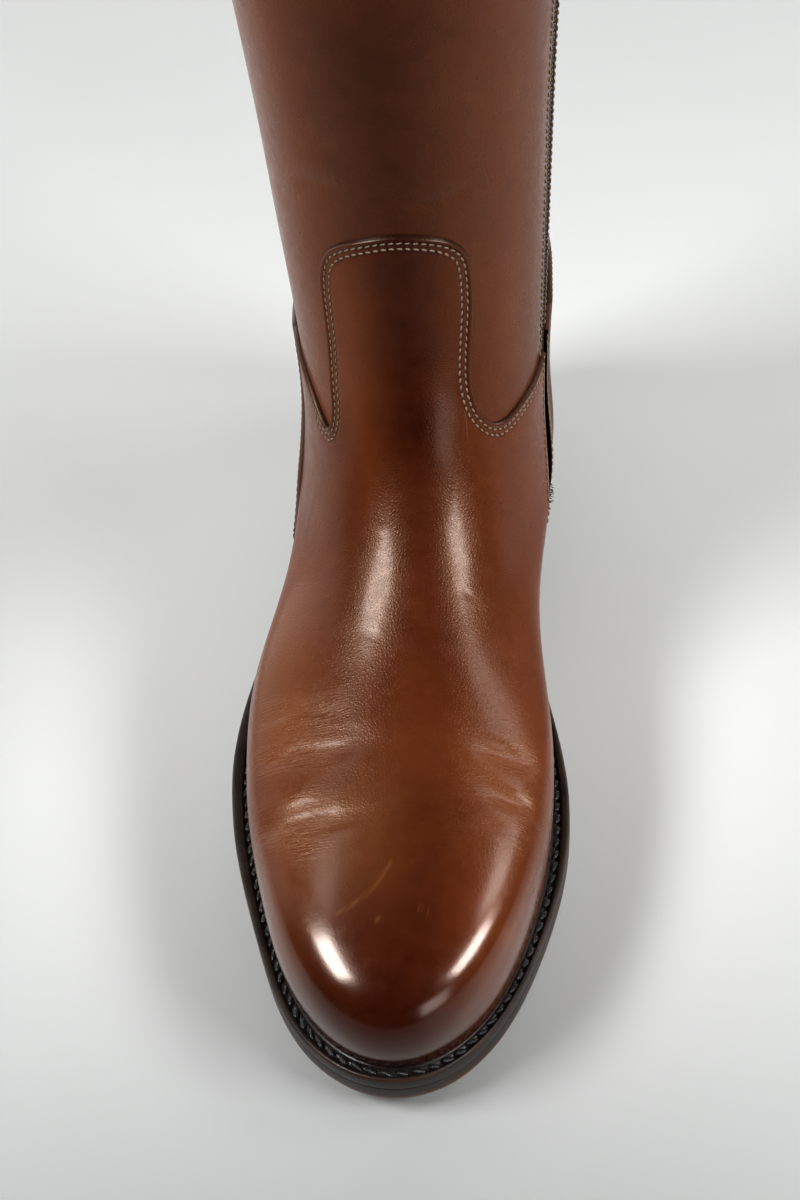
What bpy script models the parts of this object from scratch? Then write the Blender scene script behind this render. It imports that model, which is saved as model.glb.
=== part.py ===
"""A tall leather boot for the right foot, with a zip down its inner side.

The upper is lofted through rings that climb from the edge of the sole to the collar.  Each ring
runs from a front point, on the line of toe, instep and shin, to a back point, on the line of the
heel and calf.  Sizes are in millimetres and become metres when a mesh is made.
In this file y runs from the toe to the heel, +x is the inner side of the foot, and z is up.
"""

import math

import bmesh
import bpy
import numpy as np
from mathutils import Matrix, Vector

MM = 0.001

# Driving sizes
SOLE_LENGTH = 300.0
BALL_WIDTH = 106.0
HEEL_HEIGHT = 30.0
TOE_SPRING = 8.0
SHAFT_HEIGHT = 380.0

# Thicknesses and gaps
SOLE_THICK = 6.4
WELT_THICK = 4.0
WALL = 2.0
VAMP_STEP = 1.2
COUNTER_STEP = 1.0
INSOLE_THICK = 3.0
INSOLE_CLEAR = 1.7
GAP = 0.3

# Stations of the half widths along the foot, as shares of the sole's length.  The ball of the foot
# lies further back on the outer side than on the inner side.
PLACES = ("toe", "ball", "waist", "quarter", "heel")
STATIONS = {
    "out": (0.13, 0.40, 0.52, 0.66, 0.84),
    "in": (0.13, 0.35, 0.46, 0.64, 0.84),
}

# Rings of the foot, from the sole up.  front_y and back_y are shares of the sole's length, front_x a
# share of the ball's width, and heights and the lengths of the rounded nose and tail are millimetres.
# sag says how much of the sole's own curve the ring follows.
LINE_COLUMNS = ("front_x", "front_y", "front_z", "back_y", "back_z", "sag", "nose", "tail")
FOOT_LINES = (
    (0.045, 0.027, 18.0, 0.987, 41.0, 1.00, 84, 38),
    (0.045, 0.022, 29.0, 0.995, 50.0, 0.80, 84, 40),
    (0.045, 0.040, 41.0, 0.998, 58.0, 0.60, 74, 41),
    (0.045, 0.100, 48.0, 0.998, 66.0, 0.40, 80, 42),
    (0.044, 0.207, 54.0, 0.995, 74.0, 0.20, 120, 43),
    (0.042, 0.327, 63.0, 0.988, 82.0, 0.10, 128, 44),
    (0.038, 0.430, 77.0, 0.980, 91.0, 0.00, 112, 45),
    (0.030, 0.507, 96.0, 0.970, 102.0, 0.00, 86, 48),
    (0.016, 0.557, 122.0, 0.960, 121.0, 0.00, 68, 52),
)

# Half widths of the same rings at the stations in PLACES, as shares of the ball's width
FOOT_WIDTHS = {
    "out": (
        (0.377, 0.471, 0.417, 0.330, 0.285),
        (0.392, 0.474, 0.431, 0.348, 0.315),
        (0.376, 0.456, 0.409, 0.358, 0.328),
        (0.355, 0.428, 0.386, 0.364, 0.334),
        (0.335, 0.400, 0.367, 0.366, 0.336),
        (0.330, 0.383, 0.358, 0.368, 0.336),
        (0.330, 0.370, 0.358, 0.370, 0.340),
        (0.335, 0.366, 0.364, 0.376, 0.352),
        (0.355, 0.378, 0.378, 0.384, 0.370),
    ),
    "in": (
        (0.375, 0.383, 0.338, 0.250, 0.280),
        (0.384, 0.396, 0.362, 0.300, 0.310),
        (0.380, 0.395, 0.361, 0.345, 0.326),
        (0.365, 0.385, 0.355, 0.368, 0.334),
        (0.325, 0.374, 0.350, 0.378, 0.338),
        (0.315, 0.366, 0.344, 0.380, 0.340),
        (0.315, 0.360, 0.344, 0.378, 0.342),
        (0.320, 0.362, 0.354, 0.380, 0.354),
        (0.345, 0.376, 0.374, 0.388, 0.372),
    ),
}

# Rings of the shaft: heights as shares of the shaft's height, front and back as shares of the
# sole's length, half widths as shares of the ball's width.
SHAFT_COLUMNS = ("height", "front_y", "back_y", "out", "in")
SHAFT_RINGS = (
    (0.405, 0.583, 0.955, 0.390, 0.394),
    (0.510, 0.590, 0.963, 0.408, 0.412),
    (0.645, 0.587, 0.980, 0.444, 0.446),
    (0.820, 0.574, 0.993, 0.486, 0.486),
    (1.000, 0.564, 0.995, 0.500, 0.500),
)

# Bottom line of the outsole: share of the sole's length, height
BOTTOM_COLUMNS = ("along", "height")
BOTTOM_LINE = (
    (0.00, TOE_SPRING),
    (0.07, 0.55 * TOE_SPRING),
    (0.15, 0.18 * TOE_SPRING),
    (0.25, 0.0),
    (0.40, 0.0),
    (0.50, 0.17 * HEEL_HEIGHT),
    (0.60, 0.52 * HEEL_HEIGHT),
    (0.70, 0.82 * HEEL_HEIGHT),
    (0.80, 0.96 * HEEL_HEIGHT),
    (0.90, HEEL_HEIGHT),
    (1.00, 1.04 * HEEL_HEIGHT),
)


def spline(knots, values, flat_ends=False):
    """A smooth curve through the values, with its second derivative continuous."""
    knots = np.asarray(knots, float)
    values = np.asarray(values, float)
    count = len(knots)
    step = np.diff(knots)
    slope = (np.diff(values, axis=0).T / step).T
    matrix = np.eye(count)
    right = np.zeros_like(values)
    for i in range(1, count - 1):
        matrix[i, i - 1:i + 2] = step[i - 1], 2 * (step[i - 1] + step[i]), step[i]
        right[i] = 6 * (slope[i] - slope[i - 1])
    if flat_ends:
        matrix[0, :2] = 2 * step[0], step[0]
        matrix[-1, -2:] = step[-1], 2 * step[-1]
        right[0] = 6 * slope[0]
        right[-1] = -6 * slope[-1]
    bend = np.linalg.solve(matrix, right)

    def at(query):
        query = np.clip(np.asarray(query, float), knots[0], knots[-1])
        i = np.clip(np.searchsorted(knots, query, side="right") - 1, 0, count - 2)
        h = step[i]
        w = (query - knots[i]) / h
        extra = (...,) + (None,) * (values.ndim - 1)
        low, high = (1 - w)[extra], w[extra]
        curve = (low ** 3 - low) * bend[i] + (high ** 3 - high) * bend[i + 1]
        return low * values[i] + high * values[i + 1] + (h ** 2 / 6)[extra] * curve

    return at


bottom_rows = dict(zip(BOTTOM_COLUMNS, zip(*BOTTOM_LINE)))
bottom_spline = spline(bottom_rows["along"], bottom_rows["height"])


def bottom_height(y):
    """Height of the outsole's underside at y."""
    return np.maximum(bottom_spline(np.asarray(y) / SOLE_LENGTH), 0.0)


def feather_height(y):
    """Height of the line where upper and welt meet."""
    return bottom_height(y) + SOLE_THICK + WELT_THICK + 2 * GAP


def ring_rows():
    """All rings in millimetres: the columns of LINE_COLUMNS, then the half widths of both sides."""
    rows = []
    for i, line in enumerate(FOOT_LINES):
        row = dict(zip(LINE_COLUMNS, line))
        row["front_x"] *= BALL_WIDTH
        row["front_y"] *= SOLE_LENGTH
        row["back_y"] *= SOLE_LENGTH
        for side, widths in FOOT_WIDTHS.items():
            for place, width in zip(PLACES, widths[i]):
                row[f"{side}_{place}"] = width * BALL_WIDTH
        rows.append(row)
    rows[0]["front_z"] = float(feather_height(rows[0]["front_y"]))
    rows[0]["back_z"] = float(feather_height(rows[0]["back_y"]))
    for ring in SHAFT_RINGS:
        shaft = dict(zip(SHAFT_COLUMNS, ring))
        row = dict.fromkeys(rows[0], 0.0)
        row["front_y"] = shaft["front_y"] * SOLE_LENGTH
        row["back_y"] = shaft["back_y"] * SOLE_LENGTH
        row["front_z"] = row["back_z"] = shaft["height"] * SHAFT_HEIGHT
        row["nose"] = row["tail"] = (row["back_y"] - row["front_y"]) / 2
        for side in STATIONS:
            for place in PLACES:
                row[f"{side}_{place}"] = shaft[side] * BALL_WIDTH
        rows.append(row)
    return rows


ROWS = ring_rows()
COLUMNS = list(ROWS[0])
TOP_RING = len(ROWS) - 1
ring_at = spline(range(len(ROWS)), [[row[name] for name in COLUMNS] for row in ROWS])
station_shares = {side: spline(np.array(places) * SOLE_LENGTH, np.eye(len(places)), flat_ends=True)
                  for side, places in STATIONS.items()}
ROUNDING = 2.2


def rounded(share):
    """0 at an end of a ring, rising to 1 as a rounded nose does."""
    return np.sqrt(1 - (1 - np.clip(share, 0, 1)) ** ROUNDING)


def outer_wall(across, ring):
    """Points of the upper's outer wall.

    ring climbs from 0 at the sole to TOP_RING at the collar.  across runs from -1 at the back, over
    the outer side and 0 at the front, to 1 at the back again over the inner side.
    """
    across, ring = np.broadcast_arrays(np.asarray(across, float), np.asarray(ring, float))
    across = np.mod(across + 1, 2) - 1
    column = dict(zip(COLUMNS, np.moveaxis(ring_at(ring), -1, 0)))
    along = (1 - np.cos(np.pi * np.abs(across))) / 2
    run = column["back_y"] - column["front_y"]
    rise = column["back_z"] - column["front_z"]
    y = column["front_y"] + run * along
    first = ROWS[0]
    first_y = first["front_y"] + (first["back_y"] - first["front_y"]) * along
    straight = first["front_z"] + (first["back_z"] - first["front_z"]) * along
    z = column["front_z"] + rise * along + column["sag"] * (feather_height(first_y) - straight)
    length = np.hypot(run, rise)
    sides = {}
    for side in STATIONS:
        shares = station_shares[side](y)
        sides[side] = sum(shares[..., i] * column[f"{side}_{place}"] for i, place in enumerate(PLACES))
    half = np.where(across < 0, sides["out"], sides["in"])
    half = half * rounded(along * length / column["nose"]) * rounded((1 - along) * length / column["tail"])
    x = column["front_x"] * (1 - along) ** 2 + np.sign(across) * half
    return np.stack([x, y, z], axis=-1)


def outer_normal(across, ring):
    """Unit normals of the outer wall, turned level where it meets the sole and at the collar."""
    small = 1e-3
    low = np.clip(np.asarray(ring, float) - small, 0, TOP_RING)
    high = np.clip(np.asarray(ring, float) + small, 0, TOP_RING)
    round_the_boot = outer_wall(across + small, ring) - outer_wall(across - small, ring)
    up_the_boot = outer_wall(across, high) - outer_wall(across, low)
    normal = np.cross(round_the_boot, up_the_boot)
    normal /= np.linalg.norm(normal, axis=-1, keepdims=True)
    normal[..., 2] *= np.clip(np.minimum(ring, TOP_RING - ring), 0, 1)
    return normal / np.linalg.norm(normal, axis=-1, keepdims=True)


def wall(across, ring, offset):
    """Points at an offset outward from the outer wall, level along both ends of the upper."""
    across, ring = np.broadcast_arrays(np.asarray(across, float), np.asarray(ring, float))
    points = outer_wall(across, ring) + offset * outer_normal(across, ring)
    points[..., 2] = np.where(ring < 1e-6, feather_height(points[..., 1]), points[..., 2])
    return points


# Upper edge of vamp and counter.  Each row is a point of that edge, with the place round the boot
# where its line starts at the sole and where it ends at the collar.  lean and climb bow the line
# below the edge, so that it meets the edge's steep parts from inside the vamp.
EDGE_COLUMNS = ("sole", "edge", "ring", "collar", "lean", "climb")
OUTER_EDGE = (
    (1.000, 1.000, 7.65, 1.000, 0.0, 0.0),
    (0.860, 0.820, 7.65, 0.820, 0.0, 0.0),
    (0.720, 0.640, 7.64, 0.650, 0.0, 0.0),
    (0.640, 0.500, 7.59, 0.530, 0.0, 0.0),
    (0.585, 0.420, 7.53, 0.450, 0.0, 0.0),
    (0.530, 0.360, 7.45, 0.400, 0.0, 0.0),
    (0.480, 0.315, 7.36, 0.370, 0.0, 0.0),
    (0.440, 0.285, 7.25, 0.345, 0.0, 0.0),
    (0.410, 0.260, 7.15, 0.325, 0.0, 0.0),
    (0.375, 0.238, 7.13, 0.300, 0.0, 0.0),
    (0.340, 0.223, 7.25, 0.285, 0.0, 0.0),
    (0.290, 0.203, 7.70, 0.250, 0.0, 0.0),
    (0.240, 0.187, 8.18, 0.220, 0.0, 0.0),
    (0.200, 0.178, 8.58, 0.195, 0.0, 0.0),
    (0.165, 0.168, 8.88, 0.178, 0.0, 0.0),
    (0.135, 0.147, 9.09, 0.155, 0.0, 0.0),
    (0.100, 0.111, 9.21, 0.114, 0.0, 0.0),
    (0.050, 0.053, 9.30, 0.056, 0.0, 0.0),
)
INNER_EDGE = (
    (0.000, 0.000, 9.34, 0.000, 0.000, 0.0),
    (0.050, 0.059, 9.32, 0.061, -0.010, 0.5),
    (0.100, 0.114, 9.24, 0.123, -0.029, 1.3),
    (0.135, 0.150, 9.09, 0.180, -0.058, 2.4),
    (0.165, 0.160, 8.89, 0.232, -0.082, 3.1),
    (0.200, 0.161, 8.62, 0.264, -0.096, 3.4),
    (0.240, 0.156, 8.34, 0.282, -0.101, 3.4),
    (0.280, 0.151, 8.04, 0.292, -0.096, 3.1),
    (0.320, 0.155, 7.76, 0.300, -0.077, 2.4),
    (0.360, 0.180, 7.47, 0.309, -0.048, 1.4),
    (0.405, 0.224, 7.25, 0.325, -0.019, 0.6),
    (0.450, 0.263, 7.19, 0.345, 0.000, 0.0),
    (0.500, 0.303, 7.18, 0.370, 0.000, 0.0),
    (0.545, 0.350, 7.15, 0.395, 0.000, 0.0),
    (0.600, 0.440, 7.20, 0.430, 0.000, 0.0),
    (0.660, 0.520, 7.40, 0.520, 0.000, 0.0),
    (0.740, 0.640, 7.60, 0.650, 0.000, 0.0),
    (0.860, 0.820, 7.65, 0.820, 0.000, 0.0),
    (1.000, 1.000, 7.65, 1.000, 0.000, 0.0),
)

# Zip on the inner side
ZIP_SOLE, ZIP_EDGE, ZIP_COLLAR = 0.600, 0.440, 0.430
ZIP_FOOT_RING = 3.8
SLOT_WIDTH = 8.0
TAPE_WIDTH = 26.0
TAPE_THICK = 0.8
CHAIN_WIDTH = 5.5
CHAIN_THICK = 2.2

# Counter: its front edge lies at this line of the outer edge, and behind the tape on the inner side
COUNTER_EDGE = 0.420

# Mesh density
COLUMN_SPACING = 8.0
LOW_ROWS = 12
HIGH_ROWS = 8
SOLE_COLUMNS = 44


def edge_curve():
    """The edge as one smooth curve round the boot, with its length in millimetres as parameter."""
    rows = np.vstack([np.array(OUTER_EDGE) * (-1, -1, 1, -1, -1, 1), INNER_EDGE])
    points = outer_wall(rows[:, 1], rows[:, 2])
    length = np.concatenate([[0.0], np.cumsum(np.linalg.norm(np.diff(points, axis=0), axis=1))])
    return spline(length, rows), length[-1]


def round_speed(across, ring):
    """Millimetres round the boot for one unit of across."""
    small = 1e-3
    return np.linalg.norm(outer_wall(across + small, ring) - outer_wall(across - small, ring)) / (2 * small)


def zip_column(curve, total, distance):
    """The line of the wall that runs at a distance from the middle of the zip."""
    speed = round_speed(ZIP_EDGE, 7.2)
    target = ZIP_EDGE + distance / speed
    lengths = np.linspace(0.5 * total, total, 2000)
    found = curve(lengths)
    edge_length = np.interp(target, found[:, 1], lengths)
    return (ZIP_SOLE + distance / round_speed(ZIP_SOLE, 0.5),
            target,
            float(curve(edge_length)[2]),
            ZIP_COLLAR + distance / round_speed(ZIP_COLLAR, TOP_RING - 0.5), 0.0, 0.0), edge_length


def wall_columns():
    """Lines that climb the wall, from the back over the outer side and front, to the back again.

    Returns them with the index of the line in front of the zip's slot and the index of the line at
    the counter's front edge on the outer side.
    """
    curve, total = edge_curve()
    zips = [zip_column(curve, total, d) for d in (-TAPE_WIDTH / 2, -SLOT_WIDTH / 2, SLOT_WIDTH / 2,
                                                  TAPE_WIDTH / 2)]
    lengths = np.linspace(0, total, 4000)
    rows = curve(lengths)
    counter_length = np.interp(-COUNTER_EDGE, rows[:1500, 1], lengths[:1500])
    columns = []
    for start, end in ((0.0, counter_length), (counter_length, zips[0][1])):
        count = round((end - start) / COLUMN_SPACING)
        columns += [tuple(curve(start + (end - start) * i / count)) for i in range(count)]
        if start == 0.0:
            counter = len(columns)
    slot = len(columns) + 1
    columns += [z[0] for z in zips]
    start = zips[-1][1]
    count = round((total - start) / COLUMN_SPACING)
    columns += [tuple(curve(start + (total - start) * i / count)) for i in range(1, count)]
    return np.array(columns), slot, counter


def low_place(columns, share):
    """Place on a line of the wall between the sole (0) and the edge (1)."""
    sole, edge, ring, collar, lean, climb = columns.T
    bow = 2 * share * (1 - share)
    return sole + (edge - sole) * share + lean * bow, ring * share + climb * bow


def high_place(columns, share):
    """Place on a line of the wall between the edge (0) and the collar (1)."""
    sole, edge, ring, collar, lean, climb = columns.T
    return edge + (collar - edge) * share, ring + (TOP_RING - ring) * share


def make_object(name, points, faces, material, smooth=True):
    """A mesh object in metres, its faces turned outward."""
    mesh = bpy.data.meshes.new(name)
    mesh.from_pydata([tuple(float(value) * MM for value in point) for point in points], [], faces)
    work = bmesh.new()
    work.from_mesh(mesh)
    bmesh.ops.recalc_face_normals(work, faces=work.faces)
    work.to_mesh(mesh)
    work.free()
    mesh.materials.append(material)
    for polygon in mesh.polygons:
        polygon.use_smooth = smooth
    part = bpy.data.objects.new(name, mesh)
    parts.objects.link(part)
    part.parent = root
    return part


class Points:
    """Numbered points, found again by name."""

    def __init__(self):
        self.places = []
        self.numbers = {}

    def add(self, key, place):
        self.numbers[key] = len(self.places)
        self.places.append(place)

    def __call__(self, *keys):
        return [self.numbers[key] for key in keys]


def build_upper(columns, slot, counter):
    """The upper as one hollow wall, open at the collar, underneath and along the zip.

    Vamp and counter are steps in its outside.
    """
    count = len(columns)
    slot_row = round(ZIP_FOOT_RING / columns[slot, 2] * LOW_ROWS)
    vamp, heel = VAMP_STEP, VAMP_STEP + COUNTER_STEP
    level = [heel if j < counter or j > slot + 1 else vamp for j in range(count)]
    points = Points()
    for i in range(LOW_ROWS + 1):
        across, ring = low_place(columns, i / LOW_ROWS)
        for offset in (vamp, heel):
            for j, place in enumerate(wall(across, ring, offset)):
                if offset in (level[j], level[j - 1]):
                    points.add(("low", j, i, offset), place)
        for j, place in enumerate(wall(across, ring, -WALL)):
            points.add(("inside", j, i), place)
    for i in range(HIGH_ROWS + 1):
        across, ring = high_place(columns, i / HIGH_ROWS)
        for j, place in enumerate(wall(across, ring, 0.0)):
            points.add(("high", j, i), place)
        if i:
            for j, place in enumerate(wall(across, ring, -WALL)):
                points.add(("inside", j, LOW_ROWS + i), place)
    faces = []
    top = LOW_ROWS + HIGH_ROWS
    for j in range(count):
        k = (j + 1) % count
        step = level[j]
        for i in range(LOW_ROWS):
            if j == slot and i >= slot_row:
                continue
            faces.append(points(("low", j, i, step), ("low", k, i, step), ("low", k, i + 1, step),
                                ("low", j, i + 1, step)))
        if j != slot:
            faces.append(points(("low", j, LOW_ROWS, step), ("low", k, LOW_ROWS, step), ("high", k, 0),
                                ("high", j, 0)))
            for i in range(HIGH_ROWS):
                faces.append(points(("high", j, i), ("high", k, i), ("high", k, i + 1),
                                    ("high", j, i + 1)))
            faces.append(points(("high", j, HIGH_ROWS), ("high", k, HIGH_ROWS), ("inside", k, top),
                                ("inside", j, top)))
        for i in range(top):
            if j == slot and i >= slot_row:
                continue
            faces.append(points(("inside", j, i), ("inside", j, i + 1), ("inside", k, i + 1),
                                ("inside", k, i)))
        faces.append(points(("low", j, 0, step), ("inside", j, 0), ("inside", k, 0), ("low", k, 0, step)))
        if step != level[j - 1]:
            for i in range(LOW_ROWS):
                faces.append(points(("low", j, i, vamp), ("low", j, i + 1, vamp), ("low", j, i + 1, heel),
                                    ("low", j, i, heel)))
            faces.append(points(("low", j, LOW_ROWS, vamp), ("low", j, LOW_ROWS, heel), ("high", j, 0)))
            faces.append(points(("low", j, 0, vamp), ("low", j, 0, heel), ("inside", j, 0)))
    for j in (slot, slot + 1):
        for i in range(slot_row, LOW_ROWS):
            faces.append(points(("low", j, i, vamp), ("low", j, i + 1, vamp), ("inside", j, i + 1),
                                ("inside", j, i)))
        faces.append(points(("low", j, LOW_ROWS, vamp), ("high", j, 0), ("inside", j, LOW_ROWS)))
        for i in range(HIGH_ROWS):
            faces.append(points(("high", j, i), ("high", j, i + 1), ("inside", j, LOW_ROWS + i + 1),
                                ("inside", j, LOW_ROWS + i)))
    faces.append(points(("low", slot, slot_row, vamp), ("low", slot + 1, slot_row, vamp),
                        ("inside", slot + 1, slot_row), ("inside", slot, slot_row)))
    make_object("upper", points.places, faces, leather)
    return slot_row


def build_strip(name, columns, low_shares, low_offset, high_offset, material):
    """A strip along some lines of the wall, from its lowest share up to the collar."""
    rows = [low_place(columns, share) for share in low_shares]
    rows += [high_place(columns, i / HIGH_ROWS) for i in range(1, HIGH_ROWS + 1)]
    width, height = len(columns), len(rows)
    points = np.array([wall(across, ring, offset) for offset in (low_offset, high_offset)
                       for across, ring in rows]).reshape(-1, 3)

    def number(layer, i, j):
        return (layer * height + i) * width + j

    faces = []
    for layer in (0, 1):
        for i in range(height - 1):
            faces += [(number(layer, i, j), number(layer, i, j + 1), number(layer, i + 1, j + 1),
                       number(layer, i + 1, j)) for j in range(width - 1)]
    for j in (0, width - 1):
        faces += [(number(0, i, j), number(0, i + 1, j), number(1, i + 1, j), number(1, i, j))
                  for i in range(height - 1)]
    for i in (0, height - 1):
        faces += [(number(0, i, j), number(0, i, j + 1), number(1, i, j + 1), number(1, i, j))
                  for j in range(width - 1)]
    make_object(name, points, faces, material, smooth=False)


# How far welt and sole stand out from the upper: share of the sole's length, outer and inner side
RIM_COLUMNS = ("along", "out", "in")
SOLE_RIM = (
    (0.00, 5.5, 5.5),
    (0.15, 6.9, 4.6),
    (0.35, 9.0, 7.3),
    (0.50, 8.6, 4.6),
    (0.65, 5.0, 3.4),
    (0.85, 4.0, 4.0),
    (1.00, 4.0, 4.0),
)


def outline(across, spread):
    """Ground plan of the upper's bottom edge, moved outward by spread."""
    normal = outer_normal(across, np.zeros_like(across))
    return outer_wall(across, np.zeros_like(across))[:, :2] + normal[:, :2] * np.asarray(spread)[..., None]


def sole_outline(across):
    """Ground plan of welt and outsole."""
    y = outer_wall(across, np.zeros_like(across))[:, 1] / SOLE_LENGTH
    rim = dict(zip(RIM_COLUMNS, zip(*SOLE_RIM)))
    out = spline(rim["along"], rim["out"])(y)
    inner = spline(rim["along"], rim["in"])(y)
    middle = np.clip(0.5 + across * 4, 0, 1)
    middle = np.where(np.abs(across) > 0.5, (across > 0) * 1.0, middle)
    return outline(across, out + (inner - out) * middle)


def without_doubles(faces):
    """The faces with doubled corners taken out, and without those that shrink to a line."""
    corners = [list(dict.fromkeys(face)) for face in faces]
    return [face for face in corners if len(face) > 2]


def build_plate(name, right, left, low, high, material):
    """A plate between two heights, over strips that join points of the right and left edges.

    Where the first or last points of both edges fall together, the plate ends in a point there.
    """
    points = Points()
    count = len(right)
    for i in range(count):
        single = np.allclose(right[i], left[i], atol=1e-6)
        for side, place in (("right", right[i]), ("left", left[i])):
            for layer, height in (("low", low), ("high", high)):
                if side == "left" and single:
                    points.numbers[(side, layer, i)] = points.numbers[("right", layer, i)]
                else:
                    points.add((side, layer, i), (place[0], place[1], float(height(place))))
    faces = []
    for i in range(count - 1):
        for layer in ("low", "high"):
            faces.append(points(("right", layer, i), ("right", layer, i + 1), ("left", layer, i + 1),
                                ("left", layer, i)))
        for side in ("right", "left"):
            faces.append(points((side, "low", i), (side, "low", i + 1), (side, "high", i + 1),
                                (side, "high", i)))
    for i in (0, count - 1):
        faces.append(points(("right", "low", i), ("right", "high", i), ("left", "high", i),
                            ("left", "low", i)))
    make_object(name, points.places, without_doubles(faces), material, smooth=False)


# Heel block
HEEL_BREAST = 0.705
HEEL_TAPER = 2.5
HEEL_CURVE = 4.0


def build_sole():
    """Welt, outsole, heel and insole."""
    across = np.linspace(0, 1, SOLE_COLUMNS + 1)
    right = sole_outline(across)
    left = sole_outline(-across)
    left[[0, -1]] = right[[0, -1]]
    welt_low = SOLE_THICK + GAP
    build_plate("outsole", right, left, lambda p: bottom_height(p[1]),
                lambda p: bottom_height(p[1]) + SOLE_THICK, sole_leather)
    build_plate("welt", right, left, lambda p: bottom_height(p[1]) + welt_low,
                lambda p: bottom_height(p[1]) + welt_low + WELT_THICK, welt_leather)
    inset = np.full_like(across, -WALL - INSOLE_CLEAR)
    inside = outline(across, inset)
    inside_left = outline(-across, inset)
    inside_left[[0, -1]] = inside[[0, -1]]
    build_plate("insole", inside, inside_left, lambda p: feather_height(p[1]),
                lambda p: feather_height(p[1]) + INSOLE_THICK, lining_leather)
    build_heel()


def build_heel():
    """The heel: its top follows the sole, its foot is flat and a little smaller."""
    breast = HEEL_BREAST * SOLE_LENGTH
    dense = np.linspace(0, 1, 400)
    sides = []
    for sign in (1, -1):
        edge = sole_outline(sign * dense)
        first = np.interp(breast, edge[:, 1], dense)
        places = first + (1 - first) * np.linspace(0, 1, 19)
        sides.append(sole_outline(sign * places))
    sides[1][-1] = sides[0][-1]
    points = Points()
    count = len(sides[0])
    middle_y = breast + 0.5 * (SOLE_LENGTH - breast)
    for i in range(count):
        for side, edge in (("right", sides[0]), ("left", sides[1])):
            x, y = edge[i]
            shrink_x = 1 - HEEL_TAPER / 36.0
            shrink_y = 1 - HEEL_TAPER / 45.0
            low_y = middle_y + (y - middle_y) * shrink_y if y > middle_y else y
            single = side == "left" and i == count - 1
            layers = {
                "high": (x, y, float(bottom_height(y)) - GAP),
                "low": (x * shrink_x, low_y, 0.0),
            }
            for layer, place in layers.items():
                if single:
                    points.numbers[(side, layer, i)] = points.numbers[("right", layer, i)]
                else:
                    points.add((side, layer, i), place)
    bow_y = breast + HEEL_CURVE
    points.add(("bow", "high", 0), (0.0, bow_y, float(bottom_height(bow_y)) - GAP))
    points.add(("bow", "low", 0), (0.0, bow_y, 0.0))
    faces = []
    for layer in ("low", "high"):
        faces.append(points(("bow", layer, 0), ("right", layer, 0), ("right", layer, 1), ("left", layer, 1),
                            ("left", layer, 0)))
        faces += [points(("right", layer, i), ("right", layer, i + 1), ("left", layer, i + 1),
                         ("left", layer, i)) for i in range(1, count - 1)]
    for side in ("right", "left"):
        faces += [points((side, "low", i), (side, "low", i + 1), (side, "high", i + 1),
                         (side, "high", i)) for i in range(count - 1)]
        faces.append(points(("bow", "low", 0), (side, "low", 0), (side, "high", 0), ("bow", "high", 0)))
    make_object("heel", points.places, without_doubles(faces), heel_leather, smooth=False)


# Zip slider and its pull tab
SLIDER_HEIGHT = 366.0
SLIDER_WIDTH = 7.0
SLIDER_LENGTH = 12.0
SLIDER_THICK = 2.2
SLIDER_CLEAR = 0.75
BAR_RADIUS = 0.6
EYE_INNER = 0.9
EYE_OUTER = 1.7
EYE_WIDTH = 3.0
LUG_WIDTH = 1.2
LUG_GAP = 3.6
BAR_RISE = 3.4
TAB_LENGTH = 18.0
TAB_WIDTH = 5.0
TAB_THICK = 1.2


def zip_frame(columns, slot):
    """Matrix of the slider: x out of the shaft, z up, its origin on the wall in the middle of the zip."""
    middle = (columns[slot] + columns[slot + 1])[None, :] / 2
    shares = np.linspace(0, 1, 400)
    places = [high_place(middle, share) for share in shares]
    heights = [float(outer_wall(across, ring)[0, 2]) for across, ring in places]
    share = np.interp(SLIDER_HEIGHT, heights, shares)
    across, ring = high_place(middle, share)
    origin = outer_wall(across, ring)[0]
    normal = outer_normal(across, ring)[0]
    out = Vector((normal[0], normal[1], 0.0)).normalized()
    up = Vector((0, 0, 1))
    side = up.cross(out)
    matrix = Matrix((out, side, up)).transposed().to_4x4()
    matrix.translation = Vector([float(value) * MM for value in origin])
    return matrix


def primitive(name, kind, matrix, collection, **sizes):
    """A box or a cylinder placed by a matrix; its sizes are in millimetres."""
    work = bmesh.new()
    if kind == "box":
        bmesh.ops.create_cube(work, size=1.0)
        bmesh.ops.scale(work, verts=work.verts, vec=[value * MM for value in sizes["size"]])
    else:
        bmesh.ops.create_cone(work, cap_ends=True, segments=24, radius1=sizes["radius"] * MM,
                              radius2=sizes["radius"] * MM, depth=sizes["depth"] * MM)
        bmesh.ops.rotate(work, verts=work.verts, matrix=Matrix.Rotation(math.pi / 2, 3, "X"))
    bmesh.ops.translate(work, verts=work.verts, vec=[value * MM for value in sizes["at"]])
    bmesh.ops.transform(work, verts=work.verts, matrix=matrix)
    mesh = bpy.data.meshes.new(name)
    work.to_mesh(mesh)
    work.free()
    made = bpy.data.objects.new(name, mesh)
    collection.objects.link(made)
    return made


def combine(part, tool, operation):
    """An exact boolean on a part with a tool that stays hidden."""
    tool.hide_render = True
    tool.display_type = "WIRE"
    tool.parent = root
    step = part.modifiers.new(tool.name, "BOOLEAN")
    step.operation = operation
    step.solver = "EXACT"
    step.object = tool


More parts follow.
